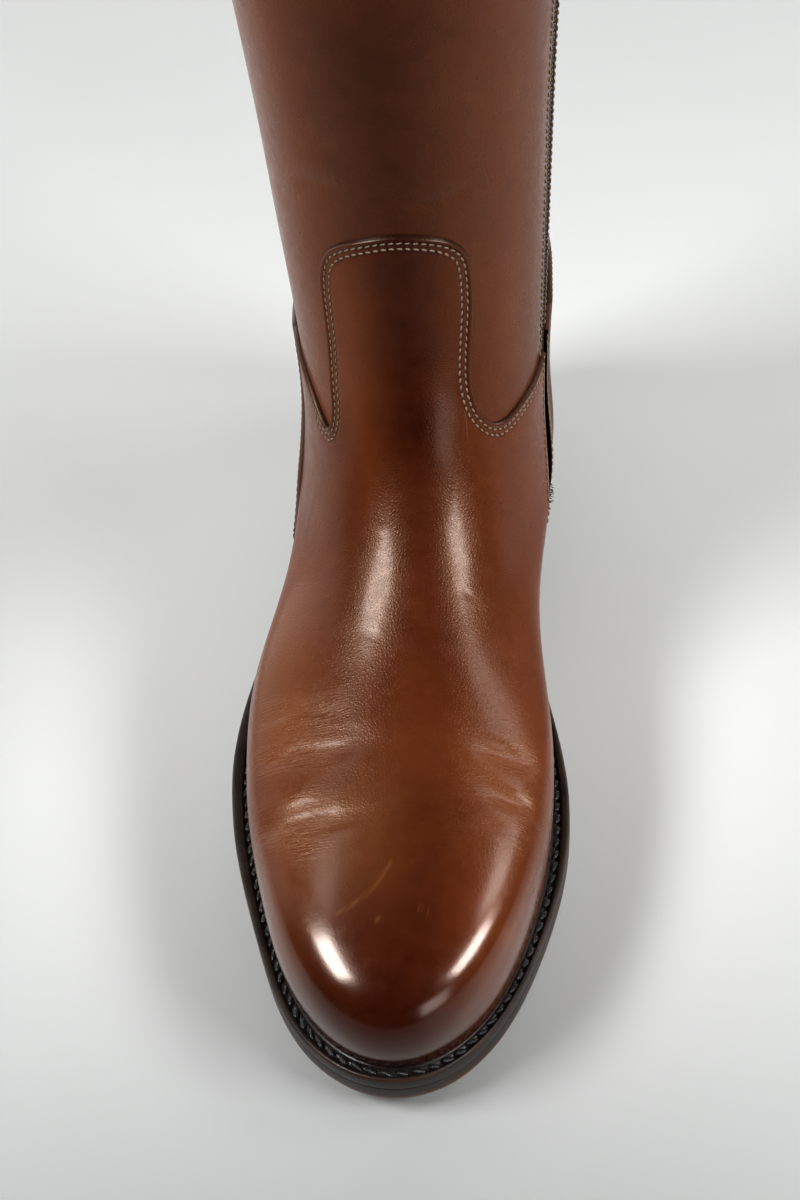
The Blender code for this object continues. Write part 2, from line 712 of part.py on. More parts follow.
def build_slider(frame):
    """Slider plate with two lugs and a bar, and the pull tab that hangs from the bar."""
    plate_mid = SLIDER_CLEAR + SLIDER_THICK / 2
    bar_out = SLIDER_CLEAR + SLIDER_THICK + GAP + EYE_OUTER
    lug_end = bar_out + 1.2
    lug_start = SLIDER_CLEAR + SLIDER_THICK - 0.4
    slider = primitive("zip_slider", "box", frame, parts, size=(SLIDER_THICK, SLIDER_WIDTH, SLIDER_LENGTH),
                       at=(plate_mid, 0, 0))
    for sign, word in ((-1, "front"), (1, "rear")):
        lug = primitive(f"{word}_lug", "box", frame, tools, size=(lug_end - lug_start, LUG_WIDTH, 2.4),
                        at=((lug_start + lug_end) / 2, sign * (LUG_GAP + LUG_WIDTH) / 2, BAR_RISE))
        combine(slider, lug, "UNION")
    bar = primitive("bar", "cylinder", frame, tools, radius=BAR_RADIUS, depth=LUG_GAP + LUG_WIDTH,
                    at=(bar_out, 0, BAR_RISE))
    combine(slider, bar, "UNION")
    slider.data.materials.append(metal)
    slider.parent = root

    hinge = bpy.data.objects.new("zip_pull_hinge", None)
    hinge.matrix_world = frame @ Matrix.Translation(Vector((bar_out, 0, BAR_RISE)) * MM)
    tools.objects.link(hinge)
    hinge.parent = root
    local = Matrix.Identity(4)
    pull = primitive("zip_pull", "cylinder", local, parts, radius=EYE_OUTER, depth=EYE_WIDTH, at=(0, 0, 0))
    neck = primitive("neck", "box", local, tools, size=(TAB_THICK, EYE_WIDTH, 3.0),
                     at=(0, 0, -EYE_OUTER - 0.9))
    tab = primitive("tab", "box", local, tools, size=(TAB_THICK, TAB_WIDTH, TAB_LENGTH - 2.4),
                    at=(0, 0, -2.4 - (TAB_LENGTH - 2.4) / 2))
    eye = primitive("eye", "cylinder", local, tools, radius=EYE_INNER, depth=EYE_WIDTH + 2, at=(0, 0, 0))
    combine(pull, neck, "UNION")
    combine(pull, tab, "UNION")
    combine(pull, eye, "DIFFERENCE")
    for tool in (neck, tab, eye):
        tool.parent = hinge
    pull.data.materials.append(metal)
    pull.parent = hinge


def make_material(name, colour, roughness, metallic=0.0):
    """A plain surface."""
    material = bpy.data.materials.new(name)
    material.use_nodes = True
    shader = material.node_tree.nodes["Principled BSDF"]
    shader.inputs["Base Color"].default_value = (*colour, 1.0)
    shader.inputs["Roughness"].default_value = roughness
    shader.inputs["Metallic"].default_value = metallic
    return material


def make_collection(name):
    """A collection in the scene."""
    collection = bpy.data.collections.new(name)
    bpy.context.scene.collection.children.link(collection)
    return collection


for old in list(bpy.data.objects):
    bpy.data.objects.remove(old)

parts = make_collection("leather_boot")
tools = make_collection("cutters")
root = bpy.data.objects.new("boot_root", None)
tools.objects.link(root)

leather = make_material("brown_leather", (0.17, 0.055, 0.022), 0.28)
sole_leather = make_material("sole_leather", (0.05, 0.024, 0.014), 0.45)
welt_leather = make_material("welt_leather", (0.035, 0.018, 0.012), 0.40)
heel_leather = make_material("heel_leather", (0.04, 0.02, 0.013), 0.42)
lining_leather = make_material("lining_leather", (0.50, 0.36, 0.22), 0.60)
zip_fabric = make_material("zip_fabric", (0.012, 0.010, 0.009), 0.85)
zip_coil = make_material("zip_coil", (0.02, 0.018, 0.017), 0.50)
metal = make_material("zip_metal", (0.30, 0.27, 0.23), 0.32, 1.0)

lines, slot_line, counter_line = wall_columns()
slot_start = build_upper(lines, slot_line, counter_line)
build_sole()
tape_lines = lines[slot_line - 1:slot_line + 3]
low_shares = [i / LOW_ROWS for i in range(slot_start - 1, LOW_ROWS + 1)]
build_strip("zip_tape", tape_lines, low_shares, -WALL - GAP - TAPE_THICK, -WALL - GAP, zip_fabric)
middle = (lines[slot_line] + lines[slot_line + 1]) / 2
reach = (lines[slot_line + 1] - lines[slot_line]) * CHAIN_WIDTH / SLOT_WIDTH / 2
chain_lines = np.array([middle - reach, middle + reach])
low_shares[:2] = [(slot_start + 0.12) / LOW_ROWS]
build_strip("zip_chain", chain_lines, low_shares, -WALL, -WALL + CHAIN_THICK, zip_coil)
build_slider(zip_frame(lines, slot_line))

# The frame's origin lies on the floor under the middle of the boot
bpy.context.view_layer.update()
view = bpy.context.evaluated_depsgraph_get()
places = []
for part in parts.objects:
    shape = part.evaluated_get(view)
    places += [shape.matrix_world @ vertex.co for vertex in shape.data.vertices]
low = [min(place[axis] for place in places) for axis in range(3)]
high = [max(place[axis] for place in places) for axis in range(3)]
root.location = (-(low[0] + high[0]) / 2, -(low[1] + high[1]) / 2, -low[2])
bpy.context.view_layer.update()
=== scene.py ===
import math

import bpy
import bmesh
import numpy as np
from mathutils import Matrix, Vector


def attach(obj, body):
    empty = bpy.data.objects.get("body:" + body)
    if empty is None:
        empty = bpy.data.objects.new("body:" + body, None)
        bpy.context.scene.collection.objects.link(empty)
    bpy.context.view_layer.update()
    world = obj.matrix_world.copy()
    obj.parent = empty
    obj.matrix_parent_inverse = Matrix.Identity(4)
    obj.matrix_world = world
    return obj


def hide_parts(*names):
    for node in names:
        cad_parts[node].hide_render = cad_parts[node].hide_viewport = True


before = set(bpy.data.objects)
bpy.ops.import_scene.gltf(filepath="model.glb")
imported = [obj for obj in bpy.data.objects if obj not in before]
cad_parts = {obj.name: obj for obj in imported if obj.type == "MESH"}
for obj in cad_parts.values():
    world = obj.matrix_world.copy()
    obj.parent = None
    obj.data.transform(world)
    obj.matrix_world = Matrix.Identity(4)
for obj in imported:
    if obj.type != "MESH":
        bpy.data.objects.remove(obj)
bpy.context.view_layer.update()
print("frame loaded:", len(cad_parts), "solids")

# The boot's sizes in millimetres: y runs from the toe to the heel, +x is the inner side of the foot
boot = {
    "length": 300.0,
    "ballWidth": 106.0,
    "heelHeight": 30.0,
    "toeSpring": 8.0,
    "shaftHeight": 380.0,
    "soleThick": 6.4,
    "weltThick": 4.0,
    "gap": 0.3,
    "wall": 2.0,
    "rounding": 2.2,
    "rowShift": (-0.6754, -152.1714, 0.0),
}

# Stations of the half widths along the foot, shares of the length, for the two sides of the foot
stationsOut = (0.13, 0.40, 0.52, 0.66, 0.84)
stationsIn = (0.13, 0.35, 0.46, 0.64, 0.84)

# Rings of the foot from the sole up: front x, front y, front z, back y, back z, sag, nose, tail
footLines = np.array((
    (0.045, 0.027, 18.0, 0.987, 41.0, 1.00, 84, 38),
    (0.045, 0.022, 29.0, 0.995, 50.0, 0.80, 84, 40),
    (0.045, 0.040, 41.0, 0.998, 58.0, 0.60, 74, 41),
    (0.045, 0.100, 48.0, 0.998, 66.0, 0.40, 80, 42),
    (0.044, 0.207, 54.0, 0.995, 74.0, 0.20, 120, 43),
    (0.042, 0.327, 63.0, 0.988, 82.0, 0.10, 128, 44),
    (0.038, 0.430, 77.0, 0.980, 91.0, 0.00, 112, 45),
    (0.030, 0.507, 96.0, 0.970, 102.0, 0.00, 86, 48),
    (0.016, 0.557, 122.0, 0.960, 121.0, 0.00, 68, 52),
))

# Half widths of those rings at the stations, shares of the ball's width
footOut = np.array((
    (0.377, 0.471, 0.417, 0.330, 0.285),
    (0.392, 0.474, 0.431, 0.348, 0.315),
    (0.376, 0.456, 0.409, 0.358, 0.328),
    (0.355, 0.428, 0.386, 0.364, 0.334),
    (0.335, 0.400, 0.367, 0.366, 0.336),
    (0.330, 0.383, 0.358, 0.368, 0.336),
    (0.330, 0.370, 0.358, 0.370, 0.340),
    (0.335, 0.366, 0.364, 0.376, 0.352),
    (0.355, 0.378, 0.378, 0.384, 0.370),
))
footIn = np.array((
    (0.375, 0.383, 0.338, 0.250, 0.280),
    (0.384, 0.396, 0.362, 0.300, 0.310),
    (0.380, 0.395, 0.361, 0.345, 0.326),
    (0.365, 0.385, 0.355, 0.368, 0.334),
    (0.325, 0.374, 0.350, 0.378, 0.338),
    (0.315, 0.366, 0.344, 0.380, 0.340),
    (0.315, 0.360, 0.344, 0.378, 0.342),
    (0.320, 0.362, 0.354, 0.380, 0.354),
    (0.345, 0.376, 0.374, 0.388, 0.372),
))

# Rings of the shaft: height, front y, back y, outer and inner half width
shaftRings = np.array((
    (0.405, 0.583, 0.955, 0.390, 0.394),
    (0.510, 0.590, 0.963, 0.408, 0.412),
    (0.645, 0.587, 0.980, 0.444, 0.446),
    (0.820, 0.574, 0.993, 0.486, 0.486),
    (1.000, 0.564, 0.995, 0.500, 0.500),
))

# Underside of the outsole: share of the length, share of the toe spring, share of the heel's height
bottomLine = np.array((
    (0.00, 1.00, 0.00),
    (0.07, 0.55, 0.00),
    (0.15, 0.18, 0.00),
    (0.25, 0.00, 0.00),
    (0.40, 0.00, 0.00),
    (0.50, 0.00, 0.17),
    (0.60, 0.00, 0.52),
    (0.70, 0.00, 0.82),
    (0.80, 0.00, 0.96),
    (0.90, 0.00, 1.00),
    (1.00, 0.00, 1.04),
))

# How far welt and sole stand out: share of the length, outer side, inner side
rimLine = np.array((
    (0.00, 5.5, 5.5),
    (0.15, 6.9, 4.6),
    (0.35, 9.0, 7.3),
    (0.50, 8.6, 4.6),
    (0.65, 5.0, 3.4),
    (0.85, 4.0, 4.0),
    (1.00, 4.0, 4.0),
))


def smoothThrough(knots, values, flatEnds=False):
    # cubic pieces through the values with a continuous bend, straight or level at both ends
    knots = np.asarray(knots, float)
    values = np.asarray(values, float)
    count = len(knots)
    step = np.diff(knots)
    slope = (np.diff(values, axis=0).T / step).T
    matrix = np.eye(count)
    right = np.zeros_like(values)
    mid = np.arange(1, count - 1)
    matrix[mid, mid - 1] = step[:-1]
    matrix[mid, mid] = 2 * (step[:-1] + step[1:])
    matrix[mid, mid + 1] = step[1:]
    right[1:-1] = 6 * (slope[1:] - slope[:-1])
    if flatEnds:
        matrix[0, :2] = 2 * step[0], step[0]
        matrix[-1, -2:] = step[-1], 2 * step[-1]
        right[0] = 6 * slope[0]
        right[-1] = -6 * slope[-1]
    bend = np.linalg.solve(matrix, right)

    def at(query):
        query = np.clip(np.asarray(query, float), knots[0], knots[-1])
        i = np.clip(np.searchsorted(knots, query, side="right") - 1, 0, count - 2)
        wide = (...,) + (None,) * (values.ndim - 1)
        high = ((query - knots[i]) / step[i])[wide]
        low = 1 - high
        curve = (low ** 3 - low) * bend[i] + (high ** 3 - high) * bend[i + 1]
        return low * values[i] + high * values[i + 1] + (step[i] ** 2 / 6)[wide] * curve

    return at


bottomAt = smoothThrough(bottomLine[:, 0],
                         bottomLine[:, 1] * boot["toeSpring"] + bottomLine[:, 2] * boot["heelHeight"])
rimAt = smoothThrough(rimLine[:, 0], rimLine[:, 1:])


def soleBottom(y):
    return np.maximum(bottomAt(np.asarray(y) / boot["length"]), 0.0)


def featherLine(y):
    # where upper and welt meet: the underside plus sole, welt and two gaps
    return soleBottom(y) + boot["soleThick"] + boot["weltThick"] + 2 * boot["gap"]


def ringTable():
    # every ring in millimetres: eight line columns, then five outer and five inner half widths
    foot = footLines * np.array((boot["ballWidth"], boot["length"], 1, boot["length"], 1, 1, 1, 1))
    foot[0, 2] = featherLine(foot[0, 1])
    foot[0, 4] = featherLine(foot[0, 3])
    foot = np.hstack([foot, footOut * boot["ballWidth"], footIn * boot["ballWidth"]])
    height, front, back, out, inner = shaftRings.T
    level = height * boot["shaftHeight"]
    half = (back - front) * boot["length"] / 2
    nothing = np.zeros_like(height)
    shaft = [nothing, front * boot["length"], level, back * boot["length"], level, nothing, half, half]
    shaft += [out * boot["ballWidth"]] * 5 + [inner * boot["ballWidth"]] * 5
    return np.vstack([foot, np.array(shaft).T])


rings = ringTable()
topRing = len(rings) - 1
ringAt = smoothThrough(np.arange(len(rings)), rings)
shareOut = smoothThrough(np.array(stationsOut) * boot["length"], np.eye(5), flatEnds=True)
shareIn = smoothThrough(np.array(stationsIn) * boot["length"], np.eye(5), flatEnds=True)


def roundedEnd(share):
    return np.sqrt(1 - (1 - np.clip(share, 0, 1)) ** boot["rounding"])


def wallPoint(across, ring):
    # ring climbs from the sole to the collar; across goes from -1 at the back over the outer side
    # and 0 at the front to 1 at the back: half width times a rounded nose and a rounded tail
    across, ring = np.broadcast_arrays(np.asarray(across, float), np.asarray(ring, float))
    across = np.mod(across + 1, 2) - 1
    row = np.moveaxis(ringAt(ring), -1, 0)
    along = (1 - np.cos(np.pi * np.abs(across))) / 2
    run = row[3] - row[1]
    rise = row[4] - row[2]
    y = row[1] + run * along
    first = rings[0]
    firstY = first[1] + (first[3] - first[1]) * along
    straight = first[2] + (first[4] - first[2]) * along
    z = row[2] + rise * along + row[5] * (featherLine(firstY) - straight)
    reach = np.hypot(run, rise)
    out = (np.moveaxis(shareOut(y), -1, 0) * row[8:13]).sum(0)
    inner = (np.moveaxis(shareIn(y), -1, 0) * row[13:18]).sum(0)
    half = np.where(across < 0, out, inner)
    half = half * roundedEnd(along * reach / row[6]) * roundedEnd((1 - along) * reach / row[7])
    x = row[0] * (1 - along) ** 2 + np.sign(across) * half
    return np.stack([x, y, z], axis=-1)


def unit(vectors):
    return vectors / np.maximum(np.linalg.norm(vectors, axis=-1, keepdims=True), 1e-12)


def wallNormal(across, ring):
    # cross product of the steps round and up the wall, turned level at the sole and the collar
    across, ring = np.broadcast_arrays(np.asarray(across, float), np.asarray(ring, float))
    small = 1e-3
    around = wallPoint(across + small, ring) - wallPoint(across - small, ring)
    above, below = np.clip(ring + small, 0, topRing), np.clip(ring - small, 0, topRing)
    up = wallPoint(across, above) - wallPoint(across, below)
    normal = unit(np.cross(around, up))
    normal[..., 2] *= np.clip(np.minimum(ring, topRing - ring), 0, 1)
    return unit(normal)


def wallAt(across, ring, offset):
    across, ring, offset = np.broadcast_arrays(np.asarray(across, float), np.asarray(ring, float),
                                               np.asarray(offset, float))
    return wallPoint(across, ring) + offset[..., None] * wallNormal(across, ring)


# Upper edge of vamp and counter: place at the sole, place of the edge, its ring, place at the collar
edgeOut = np.array((
    (1.000, 1.000, 7.65, 1.000), (0.860, 0.820, 7.65, 0.820), (0.720, 0.640, 7.64, 0.650),
    (0.640, 0.500, 7.59, 0.530), (0.585, 0.420, 7.53, 0.450), (0.530, 0.360, 7.45, 0.400),
    (0.480, 0.315, 7.36, 0.370), (0.440, 0.285, 7.25, 0.345), (0.410, 0.260, 7.15, 0.325),
    (0.375, 0.238, 7.13, 0.300), (0.340, 0.223, 7.25, 0.285), (0.290, 0.203, 7.70, 0.250),
    (0.240, 0.187, 8.18, 0.220), (0.200, 0.178, 8.58, 0.195), (0.165, 0.168, 8.88, 0.178),
    (0.135, 0.147, 9.09, 0.155), (0.100, 0.111, 9.21, 0.114), (0.050, 0.053, 9.30, 0.056),
))

# The same on the inner side, then lean and climb, which bow the line below the edge
edgeIn = np.array((
    (0.000, 0.000, 9.34, 0.000, 0.000, 0.0), (0.050, 0.059, 9.32, 0.061, -0.010, 0.5),
    (0.100, 0.114, 9.24, 0.123, -0.029, 1.3), (0.135, 0.150, 9.09, 0.180, -0.058, 2.4),
    (0.165, 0.160, 8.89, 0.232, -0.082, 3.1), (0.200, 0.161, 8.62, 0.264, -0.096, 3.4),
    (0.240, 0.156, 8.34, 0.282, -0.101, 3.4), (0.280, 0.151, 8.04, 0.292, -0.096, 3.1),
    (0.320, 0.155, 7.76, 0.300, -0.077, 2.4), (0.360, 0.180, 7.47, 0.309, -0.048, 1.4),
    (0.405, 0.224, 7.25, 0.325, -0.019, 0.6), (0.450, 0.263, 7.19, 0.345, 0.000, 0.0),
    (0.500, 0.303, 7.18, 0.370, 0.000, 0.0), (0.545, 0.350, 7.15, 0.395, 0.000, 0.0),
    (0.600, 0.440, 7.20, 0.430, 0.000, 0.0), (0.660, 0.520, 7.40, 0.520, 0.000, 0.0),
    (0.740, 0.640, 7.60, 0.650, 0.000, 0.0), (0.860, 0.820, 7.65, 0.820, 0.000, 0.0),
    (1.000, 1.000, 7.65, 1.000, 0.000, 0.0),
))
edgeRows = np.vstack([np.pad(edgeOut * (-1, -1, 1, -1), ((0, 0), (0, 2))), edgeIn])
edgeSteps = np.linalg.norm(np.diff(wallPoint(edgeRows[:, 1], edgeRows[:, 2]), axis=0), axis=1)
edgeKnots = np.concatenate([[0.0], np.cumsum(edgeSteps)])
edgeTotal = edgeKnots[-1]
edgeAt = smoothThrough(edgeKnots, edgeRows)
edgeDense = np.linspace(0, edgeTotal, 3000)
edgeDenseRows = edgeAt(edgeDense)

# Zip on the inner side: its middle at the sole, at the edge and at the collar
zipper = {
    "sole": 0.600, "edge": 0.440, "collar": 0.430,
    "footRing": 3.6, "slotWidth": 8.0, "tapeWidth": 26.0,
    "pitch": 1.35, "toothLength": 3.0, "toothThick": 0.85,
}
counterEdge = 0.420


def roundSpeed(across, ring):
    small = 1e-3
    step = wallPoint(across + small, ring) - wallPoint(across - small, ring)
    return float(np.linalg.norm(step) / (2 * small))


zipSpeeds = (roundSpeed(zipper["sole"], 0.5), roundSpeed(zipper["edge"], 7.2),
             roundSpeed(zipper["collar"], topRing - 0.5))


def zipLine(distance):
    # the line of the wall at a distance from the zip's middle: sole, edge, ring, collar, edge length
    distance = np.asarray(distance, float)
    target = zipper["edge"] + distance / zipSpeeds[1]
    later = edgeDense > 0.5 * edgeTotal
    length = np.interp(target, edgeDenseRows[later, 1], edgeDense[later])
    return (zipper["sole"] + distance / zipSpeeds[0], target, edgeAt(length)[..., 2],
            zipper["collar"] + distance / zipSpeeds[2], length)


def zipAcross(distance, ring):
    # place round the boot of that line at a ring, straight below and above the edge
    sole, edge, edgeRing, collar, length = zipLine(distance)
    low = sole + (edge - sole) * ring / edgeRing
    high = edge + (collar - edge) * (ring - edgeRing) / (topRing - edgeRing)
    return np.where(ring < edgeRing, low, high)


def toRow(points):
    # millimetres of the boot to metres of the shared frame
    return (np.asarray(points, float).reshape(-1, 3) + np.array(boot["rowShift"])) * 0.001


def gridQuads(rows, columns, loop=False, keep=None):
    # corners of every cell of a grid; loop joins the last column to the first, keep drops cells
    i, j = np.meshgrid(np.arange(rows - 1), np.arange(columns if loop else columns - 1), indexing="ij")
    k = (j + 1) % columns
    quads = np.stack([i * columns + j, i * columns + k,
                      (i + 1) * columns + k, (i + 1) * columns + j], axis=-1)
    return quads.reshape(-1, 4) if keep is None else quads[keep]


def makePiece(name, points, quads, finish, replaces=(), body="boot", marks=None, out=None, weld=0.0,
              inRow=False):
    # a mesh at the origin; out gives a rough outward direction for each point, marks are named values
    places = np.asarray(points, float).reshape(-1, 3) if inRow else toRow(points)
    quads = np.asarray(quads)
    if out is not None:
        corner = places[quads]
        normal = np.cross(corner[:, 2] - corner[:, 0], corner[:, 3] - corner[:, 1])
        if (normal * np.asarray(out).reshape(-1, 3)[quads[:, 0]]).sum() < 0:
            quads = quads[:, ::-1]
    mesh = bpy.data.meshes.new(name)
    mesh.from_pydata(places.tolist(), [], quads.tolist())
    for key, values in (marks or {}).items():
        layer = mesh.attributes.new(key, "FLOAT", "POINT")
        layer.data.foreach_set("value", np.ravel(values).astype(np.float32))
    if weld:
        work = bmesh.new()
        work.from_mesh(mesh)
        bmesh.ops.remove_doubles(work, verts=work.verts, dist=weld * 0.001)
        bmesh.ops.dissolve_degenerate(work, edges=work.edges, dist=1e-7)
        work.to_mesh(mesh)
        work.free()
    mesh.polygons.foreach_set("use_smooth", np.ones(len(mesh.polygons), bool))
    mesh.materials.append(finish)
    piece = bpy.data.objects.new(name, mesh)
    bpy.context.scene.collection.objects.link(piece)
    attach(piece, body)
    if replaces:
        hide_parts(*replaces)
    print("piece", name, len(mesh.polygons), "faces")
    return piece


def distanceTo(points, line):
    # shortest distance from each point to a run of straight pieces, a block of points at a time
    points = points.reshape(-1, 3)
    start, step = line[:-1], np.diff(line, axis=0)
    square = np.maximum((step ** 2).sum(1), 1e-12)
    found = np.empty(len(points))
    for first in range(0, len(points), 4000):
        gap = points[first:first + 4000, None, :] - start
        share = np.clip((gap * step).sum(2) / square, 0, 1)
        found[first:first + 4000] = np.sqrt(((gap - share[..., None] * step) ** 2).sum(2).min(1))
    return found


def quarterRound(distance, radius):
    # 0 at an edge, rising to 1 over the radius as a rounded edge does
    return np.sqrt(1 - (1 - np.clip(distance / radius, 0, 1)) ** 2)


def evenly(points, count, closed=False):
    # shares of the way along a run of points that are evenly spaced in length
    steps = np.linalg.norm(np.diff(points, axis=0), axis=1)
    length = np.concatenate([[0.0], np.cumsum(steps)])
    want = np.linspace(0, length[-1], count, endpoint=not closed)
    return np.interp(want, length, np.linspace(0, 1, len(points))), length[-1]


def waver(number, seed):
    # a fixed uneven value between -1 and 1 for each number
    return 2 * np.mod(np.sin(np.asarray(number) * 12.9898 + seed * 78.233) * 43758.5453, 1.0) - 1


# Materials

def put(tree, kind, inputs=None, **settings):
    # a node with settings; inputs are plain values or other nodes' sockets
    node = tree.nodes.new(kind)
    for key, value in settings.items():
        setattr(node, key, value)
    for key, value in (inputs or {}).items():
        if isinstance(value, bpy.types.NodeSocket):
            tree.links.new(value, node.inputs[key])
        else:
            node.inputs[key].default_value = value
    return node


def calc(tree, operation, a, b=0.0, clamp=False):
    return put(tree, "ShaderNodeMath", {0: a, 1: b}, operation=operation, use_clamp=clamp).outputs[0]


def blendColour(tree, share, a, b):
    return put(tree, "ShaderNodeMix", {0: share, 6: a, 7: b}, data_type="RGBA").outputs[2]


def rampValue(tree, value, low, high, toLow=0.0, toHigh=1.0):
    node = put(tree, "ShaderNodeMapRange", {0: value, 1: low, 2: high, 3: toLow, 4: toHigh},
               interpolation_type="SMOOTHSTEP")
    return node.outputs[0]


def newGroup(name, inputs, outputs):
    # an empty group with named sockets, its input node and its output node
    group = bpy.data.node_groups.new(name, "ShaderNodeTree")
    for key, kind, value in inputs:
        socket = group.interface.new_socket(key, in_out="INPUT", socket_type=kind)
        if value is not None:
            socket.default_value = value
    for key, kind in outputs:
        group.interface.new_socket(key, in_out="OUTPUT", socket_type=kind)
    return group, group.nodes.new("NodeGroupInput").outputs, group.nodes.new("NodeGroupOutput")


def useGroup(tree, group, inputs):
    return put(tree, "ShaderNodeGroup", inputs, node_tree=group).outputs


def scaled(tree, vector, amounts):
    return put(tree, "ShaderNodeVectorMath", {0: vector, 1: amounts}, operation="MULTIPLY").outputs[0]


def noise(tree, vector, scale, detail=3.0, rough=0.55):
    values = {"Vector": vector, "Scale": scale, "Detail": detail, "Roughness": rough}
    return put(tree, "ShaderNodeTexNoise", values).outputs[0]


def grainGroup():
    # fine pebbles: distance to the borders of small cells, broken by noise, with larger soft hills
    group, give, take = newGroup("leatherGrain", [
        ("Vector", "NodeSocketVector", None), ("Cells", "NodeSocketFloat", 2100.0),
        ("Hills", "NodeSocketFloat", 0.5),
    ], [("Height", "NodeSocketFloat")])
    wobble = put(group, "ShaderNodeTexNoise", {"Vector": give[0], "Scale": 900.0, "Detail": 1.0})
    moved = put(group, "ShaderNodeVectorMath", {0: wobble.outputs["Color"], 1: (0.00022,) * 3, 2: give[0]},
                operation="MULTIPLY_ADD").outputs[0]
    cells = put(group, "ShaderNodeTexVoronoi", {"Vector": moved, "Scale": give[1]},
                feature="DISTANCE_TO_EDGE").outputs[0]
    pebble = rampValue(group, cells, 0.0, 0.45)
    hills = noise(group, give[0], 620.0, 2.0)
    total = calc(group, "ADD", pebble, calc(group, "MULTIPLY", hills, give[2]))
    group.links.new(total, take.inputs[0])
    return group


def foldGroup():
    # long fine wrinkles that run across the foot: noise stretched along x, times a mask
    group, give, take = newGroup("fineFolds", [
        ("Vector", "NodeSocketVector", None), ("Mask", "NodeSocketFloat", 0.0),
    ], [("Height", "NodeSocketFloat"), ("Lines", "NodeSocketFloat")])
    warp = put(group, "ShaderNodeTexNoise", {"Vector": give[0], "Scale": 55.0, "Detail": 1.0})
    moved = put(group, "ShaderNodeVectorMath", {0: warp.outputs["Color"], 1: (0.0, 0.004, 0.0), 2: give[0]},
                operation="MULTIPLY_ADD").outputs[0]
    stretched = noise(group, scaled(group, moved, (60.0, 820.0, 60.0)), 1.0, 3.0, 0.6)
    sharp = calc(group, "ABSOLUTE", calc(group, "SUBTRACT", stretched, 0.5))
    lines = rampValue(group, sharp, 0.0, 0.11)
    high = calc(group, "MULTIPLY", lines, give[1])
    group.links.new(high, take.inputs[0])
    group.links.new(calc(group, "MULTIPLY", calc(group, "SUBTRACT", 1.0, lines), give[1]), take.inputs[1])
    return group


def cloudGroup():
    # uneven dye: two sizes of soft cloud in one value
    group, give, take = newGroup("dyeCloud", [
        ("Vector", "NodeSocketVector", None), ("Size", "NodeSocketFloat", 22.0),
    ], [("Cloud", "NodeSocketFloat")])
    large = noise(group, give[0], give[1], 3.0, 0.6)
    small = noise(group, give[0], calc(group, "MULTIPLY", give[1], 7.0), 4.0, 0.65)
    total = calc(group, "ADD", calc(group, "MULTIPLY", large, 0.68), calc(group, "MULTIPLY", small, 0.32))
    group.links.new(total, take.inputs[0])
    return group


leatherGrain = grainGroup()
fineFolds = foldGroup()
dyeCloud = cloudGroup()


def newFinish(name, **values):
    # a material with its Principled shader, plain values set on the shader's own sockets
    material = bpy.data.materials.new(name)
    material.use_nodes = True
    tree = material.node_tree
    shader = tree.nodes["Principled BSDF"]
    for key, value in values.items():
        socket = shader.inputs[key.replace("_", " ")]
        socket.default_value = (*value, 1.0) if isinstance(value, tuple) else value
    place = tree.nodes.new("ShaderNodeTexCoord").outputs["Object"]
    return material, tree, shader, place


def mark(tree, name):
    return put(tree, "ShaderNodeAttribute", attribute_name=name).outputs["Fac"]


def bumpInto(tree, shader, layers):
    # bump layers (height, strength, depth in metres) one over the other into the shader's normal
    normal = None
    for height, strength, depth in layers:
        node = put(tree, "ShaderNodeBump", {"Height": height, "Strength": strength, "Distance": depth})
        if normal is not None:
            tree.links.new(normal, node.inputs["Normal"])
        normal = node.outputs[0]
    tree.links.new(normal, shader.inputs["Normal"])


calf = {
    "dark": (0.0380, 0.0050, 0.0008, 1),
    "mid": (0.1550, 0.0390, 0.0095, 1),
    "worn": (0.2500, 0.1050, 0.0360, 1),
    # near black for cut edges, also painted shade in the stitch grooves and at the upper's foot by the welt
    "edge": (0.0120, 0.0050, 0.0030, 1),
    "roughToe": 0.21,
    "roughRest": 0.31,
    "coatToe": 0.78,
    "coatRest": 0.20,
    "grainDepth": 0.000036,
    "foldDepth": 0.00010,
}


